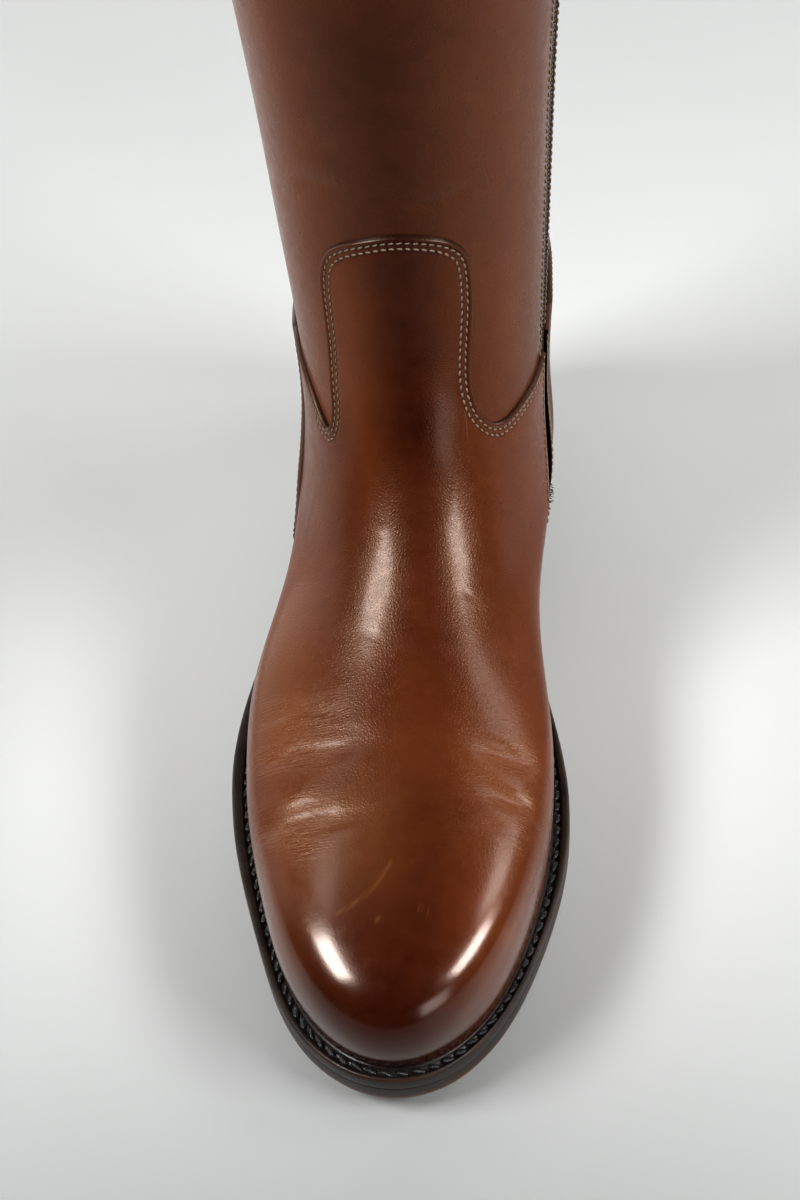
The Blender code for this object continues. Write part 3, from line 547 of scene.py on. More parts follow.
def calfFinish():
    # polished calf: clouded brown with painted light and shade carried by the tone mark, paler where worn,
    # near black along cut edges and as painted shade in stitch grooves and at the foot by the welt, smooth at
    # the toe, pebbled and creased behind it
    material, tree, shader, place = newFinish("polishedCalf", Coat_Roughness=0.18, Specular_IOR_Level=0.32,
                                              Specular_Tint=(1.0, 0.76, 0.56), IOR=1.5)
    cloud = useGroup(tree, dyeCloud, {"Vector": place, "Size": 24.0})[0]
    folds = useGroup(tree, fineFolds, {"Vector": place, "Mask": mark(tree, "flex")})
    # the tone mark carries burnished dye together with painted light and shade; the cloud adds uneven dye
    tone = calc(tree, "ADD", mark(tree, "tone"), rampValue(tree, cloud, 0.25, 0.75, -0.17, 0.17), clamp=True)
    base = blendColour(tree, tone, calf["dark"], calf["mid"])
    worn = calc(tree, "ADD", mark(tree, "worn"), calc(tree, "MULTIPLY", folds["Lines"], 0.12), clamp=True)
    base = blendColour(tree, worn, base, calf["worn"])
    base = blendColour(tree, mark(tree, "edgeDyeAndShade"), base, calf["edge"])
    tree.links.new(base, shader.inputs["Base Color"])
    smooth = mark(tree, "gloss")
    coat = rampValue(tree, smooth, 0.0, 1.0, calf["coatRest"], calf["coatToe"])
    tree.links.new(coat, shader.inputs["Coat Weight"])
    spots = noise(tree, place, 260.0, 3.0)
    rough = calc(tree, "ADD", rampValue(tree, spots, 0.3, 0.7, -0.04, 0.05),
                  rampValue(tree, smooth, 0.0, 1.0, calf["roughRest"], calf["roughToe"]))
    rough = calc(tree, "ADD", rough, calc(tree, "MULTIPLY", mark(tree, "edgeDyeAndShade"), 0.15))
    tree.links.new(rough, shader.inputs["Roughness"])
    grain = useGroup(tree, leatherGrain, {"Vector": place, "Cells": 1050.0, "Hills": 0.7})[0]
    grain = calc(tree, "MULTIPLY", grain, rampValue(tree, smooth, 0.0, 1.0, 1.0, 0.35))
    bumpInto(tree, shader, [(folds["Height"], 0.6, calf["foldDepth"]), (grain, 1.0, calf["grainDepth"])])
    return material


def plainLeather(name, dark, light, roughness, cells=1700.0, depth=0.00006, coat=0.0, cloudSize=40.0):
    # a leather with clouded colour and grain, for lining, sole and heel
    material, tree, shader, place = newFinish(name, Coat_Weight=coat, Coat_Roughness=0.25,
                                              Specular_IOR_Level=0.30)
    cloud = useGroup(tree, dyeCloud, {"Vector": place, "Size": cloudSize})[0]
    base = blendColour(tree, rampValue(tree, cloud, 0.35, 0.65), (*dark, 1), (*light, 1))
    raw = blendColour(tree, mark(tree, "raw"), base, (0.200, 0.075, 0.030, 1))
    tree.links.new(raw, shader.inputs["Base Color"])
    rough = rampValue(tree, cloud, 0.3, 0.7, roughness - 0.06, roughness + 0.08)
    tree.links.new(rough, shader.inputs["Roughness"])
    grain = useGroup(tree, leatherGrain, {"Vector": place, "Cells": cells, "Hills": 1.0})[0]
    bumpInto(tree, shader, [(grain, 0.5, depth)])
    return material


def threadFinish(name, dark, light, roughness):
    # twisted thread: pale and dark bands that turn round each stitch
    material, tree, shader, place = newFinish(name)
    twist = put(tree, "ShaderNodeTexWave",
                {"Vector": place, "Scale": 700.0, "Distortion": 3.0, "Detail": 1.0}).outputs[1]
    cloud = useGroup(tree, dyeCloud, {"Vector": place, "Size": 160.0})[0]
    share = calc(tree, "ADD", calc(tree, "MULTIPLY", twist, 0.4), calc(tree, "MULTIPLY", cloud, 0.8),
                 clamp=True)
    tree.links.new(blendColour(tree, share, (*dark, 1), (*light, 1)), shader.inputs["Base Color"])
    rough = rampValue(tree, cloud, 0.3, 0.7, roughness - 0.08, roughness + 0.08)
    tree.links.new(rough, shader.inputs["Roughness"])
    bumpInto(tree, shader, [(twist, 0.5, 0.00012)])
    return material


def tapeFinish():
    # woven tape: ribs along and across from the piece's own millimetre marks
    material, tree, shader, place = newFinish("wovenTape", Sheen_Weight=0.25)
    up = calc(tree, "SINE", calc(tree, "MULTIPLY", mark(tree, "alongTape"), 9.0))
    side = calc(tree, "SINE", calc(tree, "MULTIPLY", mark(tree, "acrossTape"), 9.0))
    weave = calc(tree, "MULTIPLY", up, side)
    share = rampValue(tree, weave, -1.0, 1.0)
    base = blendColour(tree, share, (0.004, 0.0036, 0.0034, 1), (0.016, 0.014, 0.013, 1))
    tree.links.new(base, shader.inputs["Base Color"])
    tree.links.new(rampValue(tree, weave, -1.0, 1.0, 0.95, 0.80), shader.inputs["Roughness"])
    bumpInto(tree, shader, [(weave, 0.6, 0.0001)])
    return material


def coilFinish():
    material, tree, shader, place = newFinish("nylonCoil")
    cloud = useGroup(tree, dyeCloud, {"Vector": place, "Size": 120.0})[0]
    base = blendColour(tree, cloud, (0.006, 0.0055, 0.005, 1), (0.022, 0.020, 0.019, 1))
    tree.links.new(base, shader.inputs["Base Color"])
    tree.links.new(rampValue(tree, cloud, 0.3, 0.7, 0.32, 0.46), shader.inputs["Roughness"])
    bumpInto(tree, shader, [(cloud, 0.2, 0.00005)])
    return material


def metalFinish():
    # dull brass-grey zip metal with rubbed patches and fine scratches
    material, tree, shader, place = newFinish("zipMetal", Metallic=1.0)
    cloud = useGroup(tree, dyeCloud, {"Vector": place, "Size": 140.0})[0]
    scratch = noise(tree, scaled(tree, place, (900.0, 900.0, 90.0)), 1.0, 2.0)
    base = blendColour(tree, cloud, (0.16, 0.14, 0.115, 1), (0.42, 0.38, 0.32, 1))
    tree.links.new(base, shader.inputs["Base Color"])
    tree.links.new(rampValue(tree, scratch, 0.3, 0.7, 0.26, 0.44), shader.inputs["Roughness"])
    bumpInto(tree, shader, [(scratch, 0.15, 0.00003)])
    return material


polishedCalf = calfFinish()
liningLeather = plainLeather("liningLeather", (0.34, 0.21, 0.115), (0.46, 0.31, 0.18), 0.55)
weltLeather = plainLeather("weltLeather", (0.010, 0.0075, 0.006), (0.026, 0.018, 0.013), 0.34, coat=0.08)
soleEdge = plainLeather("soleEdge", (0.014, 0.0085, 0.0055), (0.034, 0.020, 0.012), 0.36, coat=0.04)
heelStack = plainLeather("heelStack", (0.012, 0.0075, 0.005), (0.030, 0.018, 0.011), 0.36, coat=0.06)
topPiece = plainLeather("topPiece", (0.006, 0.006, 0.006), (0.014, 0.013, 0.012), 0.62, cells=800.0)
tanThread = threadFinish("tanThread", (0.075, 0.041, 0.019), (0.350, 0.262, 0.172), 0.60)
waxedThread = threadFinish("waxedThread", (0.0035, 0.0032, 0.003), (0.022, 0.021, 0.020), 0.34)
wovenTape = tapeFinish()
nylonCoil = coilFinish()
zipMetal = metalFinish()
print("finishes made")

# Leather panels

# Main creases: depth in mm (minus stands out), half width in mm, path as (across, ring) places
creases = (
    (0.95, 3.0, ((-0.315, 2.75), (-0.250, 3.58), (-0.185, 4.06), (-0.105, 4.46), (-0.020, 4.62))),
    (1.00, 2.8, ((-0.285, 2.20), (-0.205, 3.25), (-0.130, 3.74), (-0.060, 4.00), (0.010, 4.12))),
    (-0.90, 5.0, ((-0.285, 2.75), (-0.224, 3.42), (-0.176, 3.84), (-0.110, 4.20))),
    (-0.35, 4.5, ((-0.330, 3.40), (-0.250, 4.10), (-0.150, 4.75), (-0.060, 4.95))),
    (0.34, 1.3, ((-0.272, 2.60), (-0.200, 3.46), (-0.126, 3.88))),
    (0.34, 1.3, ((-0.234, 2.74), (-0.170, 3.40), (-0.096, 3.84))),
    (0.28, 1.2, ((-0.222, 2.84), (-0.158, 3.38), (-0.126, 3.60))),
    (0.34, 1.4, ((-0.330, 3.25), (-0.252, 4.07), (-0.166, 4.60))),
    (0.38, 1.4, ((-0.332, 3.05), (-0.270, 3.84), (-0.192, 4.37), (-0.122, 4.62))),
    (0.30, 1.3, ((-0.262, 3.80), (-0.194, 4.24), (-0.096, 4.60), (-0.046, 4.72))),
    (0.90, 2.6, ((0.130, 4.52), (0.178, 4.22), (0.234, 3.78), (0.288, 3.18), (0.322, 2.55))),
    (0.90, 2.4, ((0.155, 3.98), (0.192, 3.72), (0.236, 3.30), (0.264, 2.90), (0.300, 2.20))),
    (-0.70, 4.0, ((0.190, 4.00), (0.232, 3.55), (0.276, 3.02), (0.306, 2.45))),
    (-0.45, 4.0, ((0.190, 3.45), (0.236, 3.00), (0.270, 2.50))),
    (0.36, 1.6, ((0.120, 3.66), (0.186, 3.42), (0.240, 2.86))),
    (0.30, 1.2, ((0.162, 4.40), (0.226, 3.96), (0.276, 3.42))),
    (0.28, 1.2, ((0.184, 3.86), (0.230, 3.44), (0.258, 3.06))),
    (0.20, 2.2, ((-0.030, 4.05), (0.066, 4.05), (0.150, 3.66))),
    (0.22, 0.9, ((-0.120, 6.44), (-0.080, 6.50), (-0.040, 6.52))),
    (0.20, 0.9, ((-0.130, 5.84), (-0.086, 5.88), (-0.040, 5.86))),
    (0.20, 1.0, ((-0.150, 5.36), (-0.092, 5.42), (-0.050, 5.40))),
    (0.18, 1.0, ((0.110, 5.86), (0.150, 5.70), (0.200, 5.40))),
)

# Paler rubbed places of the vamp: x, y, z in mm, reach in mm, strength
wornSpots = np.array((
    (-2.0, 54.0, 53.5, 15.0, 0.11), (-10.0, 64.0, 53.0, 13.0, 0.17), (2.5, 45.0, 52.0, 9.0, 0.06),
    (-14.0, 44.0, 49.0, 12.0, 0.14), (34.0, 37.2, 38.4, 2.6, 0.45), (-28.0, 62.0, 47.0, 9.0, 0.16),
    (-33.0, 95.0, 53.0, 12.0, 0.20), (-40.0, 118.0, 52.0, 14.0, 0.22), (1.6, 33.2, 49.8, 0.7, 0.35),
    (12.7, 37.1, 50.1, 0.6, 0.25), (15.1, 36.4, 49.6, 0.6, 0.25), (0.0, 80.0, 58.0, 18.0, 0.06),
    (28.0, 84.0, 55.0, 8.0, 0.16), (33.0, 73.0, 51.0, 6.0, 0.18), (-20.0, 172.0, 120.0, 10.0, 0.12),
))
scratchLine = ((-0.008, 3.64), (-0.034, 3.42), (-0.060, 3.23), (-0.088, 3.02))


def wallPath(places, offset, count=40):
    # a smooth run of points on the wall through a few (across, ring) places
    places = np.array(places, float)
    curve = smoothThrough(np.linspace(0, 1, len(places)), places)(np.linspace(0, 1, count))
    return wallAt(curve[:, 0], curve[:, 1], offset)


def creaseField(points, table, offset):
    # sum of soft troughs and ridges, each a bell of its distance that fades at both ends, and a mask
    flat = points.reshape(-1, 3)
    depth = np.zeros(len(flat))
    mask = np.zeros(len(flat))
    for amount, width, places in table:
        path = wallPath(places, offset)
        middle = path.mean(0)
        reach = np.linalg.norm(path - middle, axis=1).max() + 4 * max(width, 4.0)
        near = np.linalg.norm(flat - middle, axis=1) < reach
        away = distanceTo(flat[near], path)
        ends = np.minimum(np.linalg.norm(flat[near] - path[0], axis=1),
                          np.linalg.norm(flat[near] - path[-1], axis=1))
        fade = 1 - np.exp(-(ends / (2.2 * width + 2.5)) ** 2)
        depth[near] -= amount * np.exp(-(away / width) ** 2) * fade
        if amount > 0:
            bell = np.exp(-(away / (width + 4.0)) ** 2) * np.clip(0.35 + amount, 0, 1)
            mask[near] = np.maximum(mask[near], bell)
    return depth.reshape(points.shape[:-1]), mask.reshape(points.shape[:-1])


vamp = {
    "thick": 1.2,           # over the shaft's own wall
    "bead": 0.35,           # turned edge stands this much prouder
    "edgeRound": 1.0,
    "stitchAt": (2.1, 3.9),  # two rows, distance from the edge
    "groove": 0.20,
    "columns": 330,
    "rows": 185,
    "stitch": 2.25,
    "creaseDepth": 0.60,
}


def vampColumns():
    # lines from the sole to the edge, closer where sole or edge runs faster, then the zip's own lines
    counterLength = np.interp(-counterEdge, edgeDenseRows[:1100, 1], edgeDense[:1100])
    under = counterLength - 9.0
    zipStart = float(zipLine(-zipper["tapeWidth"] / 2)[4])
    lengths = np.linspace(under, zipStart, 4000)
    rows = edgeAt(lengths)
    edgeRun = np.linalg.norm(np.diff(wallPoint(rows[:, 1], rows[:, 2]), axis=0), axis=1)
    soleRun = np.linalg.norm(np.diff(wallPoint(rows[:, 0], rows[:, 2] * 0.3), axis=0), axis=1)
    weight = np.concatenate([[0.0], np.cumsum(edgeRun + 0.7 * soleRun)])
    front = edgeAt(np.interp(np.linspace(0, weight[-1], vamp["columns"]), weight, lengths))
    half = zipper["slotWidth"] / 2
    wide = zipper["tapeWidth"] / 2
    distances = np.concatenate([np.linspace(-wide, -half, 9)[1:], np.linspace(-half, half, 6)[1:],
                                np.linspace(half, wide + 7.0, 14)[1:]])
    zipRows = np.pad(np.stack(zipLine(distances)[:4], axis=-1), ((0, 0), (0, 2)))
    slot = len(front) + 7
    return np.vstack([front, zipRows]), slot, slot + 5


def edgeProfile(distance):
    # height over the wall near a turned edge: round, a bead, then two stitched grooves
    rise = vamp["thick"] * quarterRound(distance, vamp["edgeRound"])
    rise += vamp["bead"] * np.exp(-((distance - 0.9) / 0.7) ** 2) * quarterRound(distance, 0.9)
    for row in vamp["stitchAt"]:
        rise -= vamp["groove"] * np.exp(-((distance - row) / 0.55) ** 2)
    return rise


def wornField(points):
    # soft spots of wear plus the long scratch over the toe
    flat = points.reshape(-1, 3)
    total = np.zeros(len(flat))
    for x, y, z, reach, strength in wornSpots:
        total += strength * np.exp(-(np.linalg.norm(flat - (x, y, z), axis=1) / reach) ** 2)
    total += 0.26 * np.exp(-(distanceTo(flat, wallPath(scratchLine, vamp["thick"])) / 0.45) ** 2)
    return np.clip(total, 0, 1).reshape(points.shape[:-1])


def vampToneAndPaintedLight(points, across, ring):
    # how pale the leather is, partly burnished dye and partly painted light: paler at both sides as painted
    # light, dark at the toe's front and over the toe as burnished dye with painted shade, dark up the middle
    # of the tab as painted shade, and a pale stripe down the tab's outer flank as a painted reflection
    x, y, z = np.moveaxis(points, -1, 0)
    side = smoothAway(np.clip((np.abs(x - 2) - 8) / 30, 0, 1))
    front = smoothAway(np.clip((40 - y) / 34, 0, 1)) * smoothAway(np.clip((56 - z) / 22, 0, 1))
    tab = smoothAway(np.clip((ring - 5.6) / 2.4, 0, 1))
    middle = np.exp(-((across - 0.015) / 0.075) ** 2)
    toe = smoothAway(np.clip((82 - y) / 30, 0, 1)) * (1 - side)
    toe = toe * (0.10 + 0.14 * np.exp(-((x - 12) / 14) ** 2))
    paintedReflectionStripe = np.exp(-((across + 0.120) / 0.06) ** 2)
    return 0.40 + 0.38 * side - toe - 0.26 * front + tab * (0.10 - 0.44 * middle + 0.38 * paintedReflectionStripe)


def unevenness(points, amount):
    # slow waves in the leather, a sum of sines over the boot's own millimetres
    x, y, z = np.moveaxis(points, -1, 0)
    return amount * (np.sin(x * 0.11 + z * 0.045 + 1.0) * np.sin(y * 0.07 + 0.4)
                     + 0.6 * np.sin(z * 0.083 - x * 0.05 + 2.0)
                     + 0.5 * np.sin(y * 0.16 + x * 0.13))


def buildVamp():
    columns, slotFirst, slotLast = vampColumns()
    sole, edge, edgeRing, collar, lean, climb = columns.T
    body = np.linspace(0, 1, vamp["rows"]) ** 1.08 * 0.986
    tail = 1 - 0.014 * (1 - np.linspace(0, 1, 13)[1:]) ** 1.6
    shares = np.concatenate([body, tail])[:, None]
    across = sole + (edge - sole) * shares + lean * 2 * shares * (1 - shares)
    ring = edgeRing * shares + climb * 2 * shares * (1 - shares)
    surface = wallAt(across, ring, vamp["thick"])
    normal = wallNormal(across, ring)
    distance = np.full(across.shape, 50.0)
    close = shares[:, 0] > 0.72
    line = wallAt(edge, edgeRing, vamp["thick"])
    distance[close] = distanceTo(surface[close], line).reshape(-1, across.shape[1])
    depth, flex = creaseField(surface, creases, vamp["thick"])
    base = smoothAway(np.minimum(ring / 0.5, 1.0))
    away = smoothAway(np.clip((distance - 3.0) / 8.0, 0, 1))
    rise = edgeProfile(distance) + (vamp["creaseDepth"] * depth + unevenness(surface, 0.10)) * base * away
    points = wallPoint(across, ring) + rise[..., None] * normal
    points[0, :, 2] = featherLine(points[0, :, 1])
    worn = wornField(surface)
    # near black along the cut edge as edge dye, darker at the upper's foot by the welt as painted shade; the
    # loop below adds painted shade in the stitch grooves
    edgeDyeAndShade = np.maximum(0.85 * np.exp(-(distance / 0.85) ** 2), 0.55 * np.exp(-(ring / 0.35) ** 2))
    gloss = smoothAway(np.clip((78 - surface[..., 1]) / 45, 0, 1))
    for row in vamp["stitchAt"]:
        edgeDyeAndShade += 0.50 * np.exp(-((distance - row) / 0.5) ** 2)
    keep = np.ones((len(shares) - 1, len(columns) - 1), bool)
    keep[shares[1:, 0] > zipper["footRing"] / 7.2, slotFirst:slotLast] = False
    instep = np.exp(-((surface[..., 1] - 128) / 24) ** 2) * np.exp(-((surface[..., 0] - 5) / 26) ** 2)
    aside = smoothAway(np.clip((np.abs(surface[..., 0] - 2) - 9) / 14, 0, 1))
    flex = np.maximum(flex * (0.12 + 0.88 * aside), 0.14 * instep)
    makePiece("vamp", points, gridQuads(len(shares), len(columns), keep=keep), polishedCalf,
              ("upper",), marks={"flex": flex * base, "worn": worn, "edgeDyeAndShade": np.clip(edgeDyeAndShade, 0, 1),
                                "gloss": gloss, "tone": vampToneAndPaintedLight(surface, across, ring)}, out=normal)


def smoothAway(share):
    return share * share * (3 - 2 * share)


counter = {"thick": 1.0, "columns": 150, "rows": 70, "edgeRound": 0.9}


def buildCounter():
    # heel panel over the vamp's level, from behind the zip round the back to the outer side
    counterLength = np.interp(-counterEdge, edgeDenseRows[:1100, 1], edgeDense[:1100])
    wide = zipper["tapeWidth"] / 2
    first = np.stack([np.asarray(value) for value in zipLine(wide)[:4]])
    zipEnd = float(zipLine(wide)[4])
    behind = edgeAt(np.linspace(zipEnd + 1.5, edgeTotal, counter["columns"] // 2))
    ahead = edgeAt(np.linspace(0.0, counterLength, counter["columns"] // 2))[1:, :4] + np.array((2, 2, 0, 2))
    columns = np.vstack([first[None, :], behind[:, :4], ahead])
    sole, edge, edgeRing, collar = columns.T
    tail = 1 - 0.03 * (1 - np.linspace(0, 1, 12)[1:]) ** 1.6
    shares = np.concatenate([np.linspace(0, 0.97, counter["rows"]), tail])[:, None]
    across = sole + (edge - sole) * shares
    ring = edgeRing * shares
    full = vamp["thick"] + counter["thick"]
    surface = wallAt(across, ring, full)
    normal = wallNormal(across, ring)
    toTop = distanceTo(surface, wallAt(edge, edgeRing, full)).reshape(across.shape)
    toFront = np.minimum(distanceTo(surface, surface[:, 0]), distanceTo(surface, surface[:, -1]))
    toFront = toFront.reshape(across.shape)
    rise = np.minimum(full * quarterRound(toTop, 1.2),
                      vamp["thick"] + counter["thick"] * quarterRound(toFront, counter["edgeRound"]))
    near = np.minimum(toTop, toFront)
    for row in vamp["stitchAt"]:
        rise = rise - vamp["groove"] * np.exp(-((near - row) / 0.55) ** 2)
    rise = rise + unevenness(surface, 0.10) * smoothAway(np.clip(near / 8, 0, 1))
    points = wallPoint(across, ring) + rise[..., None] * normal
    points[0, :, 2] = featherLine(points[0, :, 1])
    # near black along the cut edges as edge dye, darker at the counter's foot by the welt as painted shade
    edgeDyeAndShade = np.maximum(0.85 * np.exp(-(near / 0.8) ** 2), 0.35 * np.exp(-(ring / 0.22) ** 2))
    nothing = np.zeros(across.shape)
    makePiece("counter", points, gridQuads(*across.shape), polishedCalf,
              marks={"flex": nothing, "worn": nothing + 0.04, "edgeDyeAndShade": edgeDyeAndShade, "gloss": nothing + 0.2,
                     "tone": nothing + 0.50}, out=normal)


shaft = {"rows": 170, "columns": 330, "startRing": 6.4}

# Creases of the shaft in front, just over the vamp's tab
shaftCreases = (
    (0.45, 2.2, ((-0.230, 9.52), (-0.150, 9.64), (-0.080, 9.66))),
    (0.35, 1.6, ((-0.020, 9.62), (0.060, 9.56), (0.130, 9.56), (0.200, 9.62))),
    (-0.35, 3.0, ((-0.220, 9.72), (-0.130, 9.80), (-0.060, 9.80))),
    (0.22, 1.5, ((-0.160, 9.93), (-0.120, 9.97), (-0.080, 9.97))),
    (0.25, 1.8, ((0.130, 10.28), (0.185, 10.22), (0.220, 10.12))),
    (0.22, 1.6, ((0.190, 9.78), (0.235, 9.68), (0.280, 9.64))),
)


def buildShaft():
    # one sheet from the zip's rear edge round the back and front to its front edge, turned in at the
    # slot and over the collar
    half = zipper["slotWidth"] / 2
    ring = np.linspace(shaft["startRing"], topRing - 0.05, shaft["rows"])
    ring = np.concatenate([ring, np.full(9, topRing)])[:, None]
    share = np.linspace(0, 1, shaft["columns"])[None, :]
    rear = zipAcross(half, ring) - 2
    front = zipAcross(-half, ring)
    across = rear + (front - rear) * share
    normal = wallNormal(across, ring)
    surface = wallPoint(across, ring)
    toSlot = np.minimum(np.linalg.norm(surface - surface[:, :1], axis=2),
                        np.linalg.norm(surface - surface[:, -1:], axis=2))
    depth, flex = creaseField(surface, shaftCreases, 0.0)
    toTop = (topRing - ring) * 60
    calm = smoothAway(np.clip(np.minimum(toSlot, toTop) / 9, 0, 1))
    rise = (depth + unevenness(surface, 0.14)) * calm
    # the last rows roll over the collar: half a circle from the outer face to the lining
    roll = np.zeros_like(ring)
    roll[-9:, 0] = np.linspace(0, 1, 9)
    lean = np.where(roll > 0, -boot["wall"] / 2 * (1 - np.cos(np.pi * roll)), 0.0)
    lift = np.where(roll > 0, boot["wall"] / 2 * np.sin(np.pi * roll), 0.0)
    points = surface + (rise + lean)[..., None] * normal
    points[..., 2] += lift
    # extra columns close the slot's edges: the outer face turns in to the lining
    turn = np.linspace(0, 1, 6)[1:]
    inward = -(boot["wall"] + 0.1) * turn[None, :]
    inward = np.where(roll > 0, inward * 0, inward)
    first = points[:, :1] + (inward[..., None] * normal[:, :1])
    last = points[:, -1:] + (inward[..., None] * normal[:, -1:])
    points = np.concatenate([first[:, ::-1], points, last], axis=1)
    wide = np.concatenate([np.repeat(normal[:, :1], 5, 1), normal, np.repeat(normal[:, -1:], 5, 1)], axis=1)

    def spread(values):
        return np.concatenate([np.repeat(values[:, :1], 5, 1), values,
                               np.repeat(values[:, -1:], 5, 1)], axis=1)

    edgeDyeAndShade = np.maximum(0.7 * np.exp(-(toSlot / 0.8) ** 2), np.where(roll > 0, 0.6, 0.0))
    # painted light on the shaft: darker down the front middle as painted shade, paler on the outer side as a
    # painted reflection, a little paler on the inner side as painted light
    tone = (0.46 - 0.28 * np.exp(-((across - 0.01) / 0.10) ** 2)
            + 0.54 * np.exp(-((across + 0.30) / 0.15) ** 2)
            + 0.14 * np.exp(-((across - 0.28) / 0.10) ** 2))
    makePiece("shaft", points, gridQuads(*points.shape[:2]), polishedCalf,
              marks={"flex": spread(flex * 0.5), "worn": spread(0.05 + 0 * flex), "edgeDyeAndShade": spread(edgeDyeAndShade),
                     "gloss": spread(0.15 + 0 * flex), "tone": spread(tone)}, out=wide)


def buildLining():
    # inner face of the wall: closed rings up to the zip's foot, then open along the slot
    half = zipper["slotWidth"] / 2
    ring = np.linspace(0, zipper["footRing"], 40)[:, None]
    across = np.linspace(-1, 1, 160, endpoint=False)[None, :]
    low = wallAt(across, ring, -boot["wall"])
    lowOut = -wallNormal(across, ring)
    upper = np.linspace(zipper["footRing"], topRing, 110)[:, None]
    share = np.linspace(0, 1, 160)[None, :]
    rear = zipAcross(half, upper) - 2
    front = zipAcross(-half, upper)
    place = rear + (front - rear) * share
    high = wallAt(place, upper, -boot["wall"])
    highOut = -wallNormal(place, upper)
    quads = np.vstack([gridQuads(40, 160, loop=True), gridQuads(110, 160) + 40 * 160])
    marks = {"raw": np.zeros(40 * 160 + 110 * 160)}
    makePiece("lining", np.concatenate([low.reshape(-1, 3), high.reshape(-1, 3)]), quads, liningLeather,
              marks=marks,
              out=np.concatenate([lowOut.reshape(-1, 3), highOut.reshape(-1, 3)]))


buildVamp()
buildCounter()
buildShaft()
buildLining()
print("leather panels made")


# Stitches

def capsule(sides, rows):
    # a rounded grain along x: circles whose radius follows a flattened ellipse, as unit points
    v = np.linspace(-1, 1, rows)[:, None]
    u = np.linspace(0, 2 * np.pi, sides, endpoint=False)[None, :]
    radius = np.sqrt(np.clip(1 - np.abs(v) ** 2.6, 0.0, 1)) + 0.02
    points = np.stack([v + 0 * u, radius * np.cos(u), radius * np.sin(u)], axis=-1)
    return points.reshape(-1, 3), gridQuads(rows, sides, loop=True)


def placeMany(unitPoints, unitQuads, centre, along, side, up, half):
    # copies of a unit shape, each with its own place, three axes and three half sizes
    shape = (unitPoints[None, :, 0, None] * (along * half[:, 0:1])[:, None, :]
             + unitPoints[None, :, 1, None] * (side * half[:, 1:2])[:, None, :]
             + unitPoints[None, :, 2, None] * (up * half[:, 2:3])[:, None, :])
    points = centre[:, None, :] + shape
    quads = unitQuads[None, :, :] + (np.arange(len(centre)) * len(unitPoints))[:, None, None]
    return points.reshape(-1, 3), quads.reshape(-1, 4), shape.reshape(-1, 3)


def insetRows(rows, inset, offset):
    # a line beside another one on the wall: a step across it, turned into steps of across and ring
    small = 1e-3
    across, ring = rows[:, 0], rows[:, 1]
    stepA = (wallPoint(across + small, ring) - wallPoint(across - small, ring)) / (2 * small)
    stepR = (wallPoint(across, ring + small) - wallPoint(across, ring - small)) / (2 * small)
    normal = wallNormal(across, ring)
    points = wallPoint(across, ring)
    along = unit(np.gradient(points, axis=0))
    aside = unit(np.cross(along, normal)) * inset
    a, b, c = (stepA ** 2).sum(1), (stepA * stepR).sum(1), (stepR ** 2).sum(1)
    p, q = (stepA * aside).sum(1), (stepR * aside).sum(1)
    det = a * c - b * b
    across = across + (c * p - b * q) / det
    ring = ring + (a * q - b * p) / det
    return wallAt(across, ring, offset), wallNormal(across, ring)


def stitchLine(points, normals, pitch, fill, radius, tilt, seed):
    # grains along a line: even spacing, each turned a little in the surface
    steps = np.concatenate([[0.0], np.cumsum(np.linalg.norm(np.diff(points, axis=0), axis=1))])
    count = int(steps[-1] / pitch)
    want = (np.arange(count) + 0.5) * steps[-1] / count
    centre = np.stack([np.interp(want, steps, points[:, k]) for k in range(3)], axis=-1)
    up = unit(np.stack([np.interp(want, steps, normals[:, k]) for k in range(3)], axis=-1))
    tangent = np.gradient(points, axis=0)
    along = unit(np.stack([np.interp(want, steps, tangent[:, k]) for k in range(3)], axis=-1))
    side = unit(np.cross(up, along))
    angle = np.radians(tilt + 4 * waver(np.arange(count), seed))[:, None]
    along, side = along * np.cos(angle) + side * np.sin(angle), side * np.cos(angle) - along * np.sin(angle)
    half = np.stack([pitch * fill / 2 * (1 + 0.06 * waver(np.arange(count), seed + 1)),
                     np.full(count, radius), np.full(count, radius * 0.8)], axis=-1)
    return centre, along, side, up, half


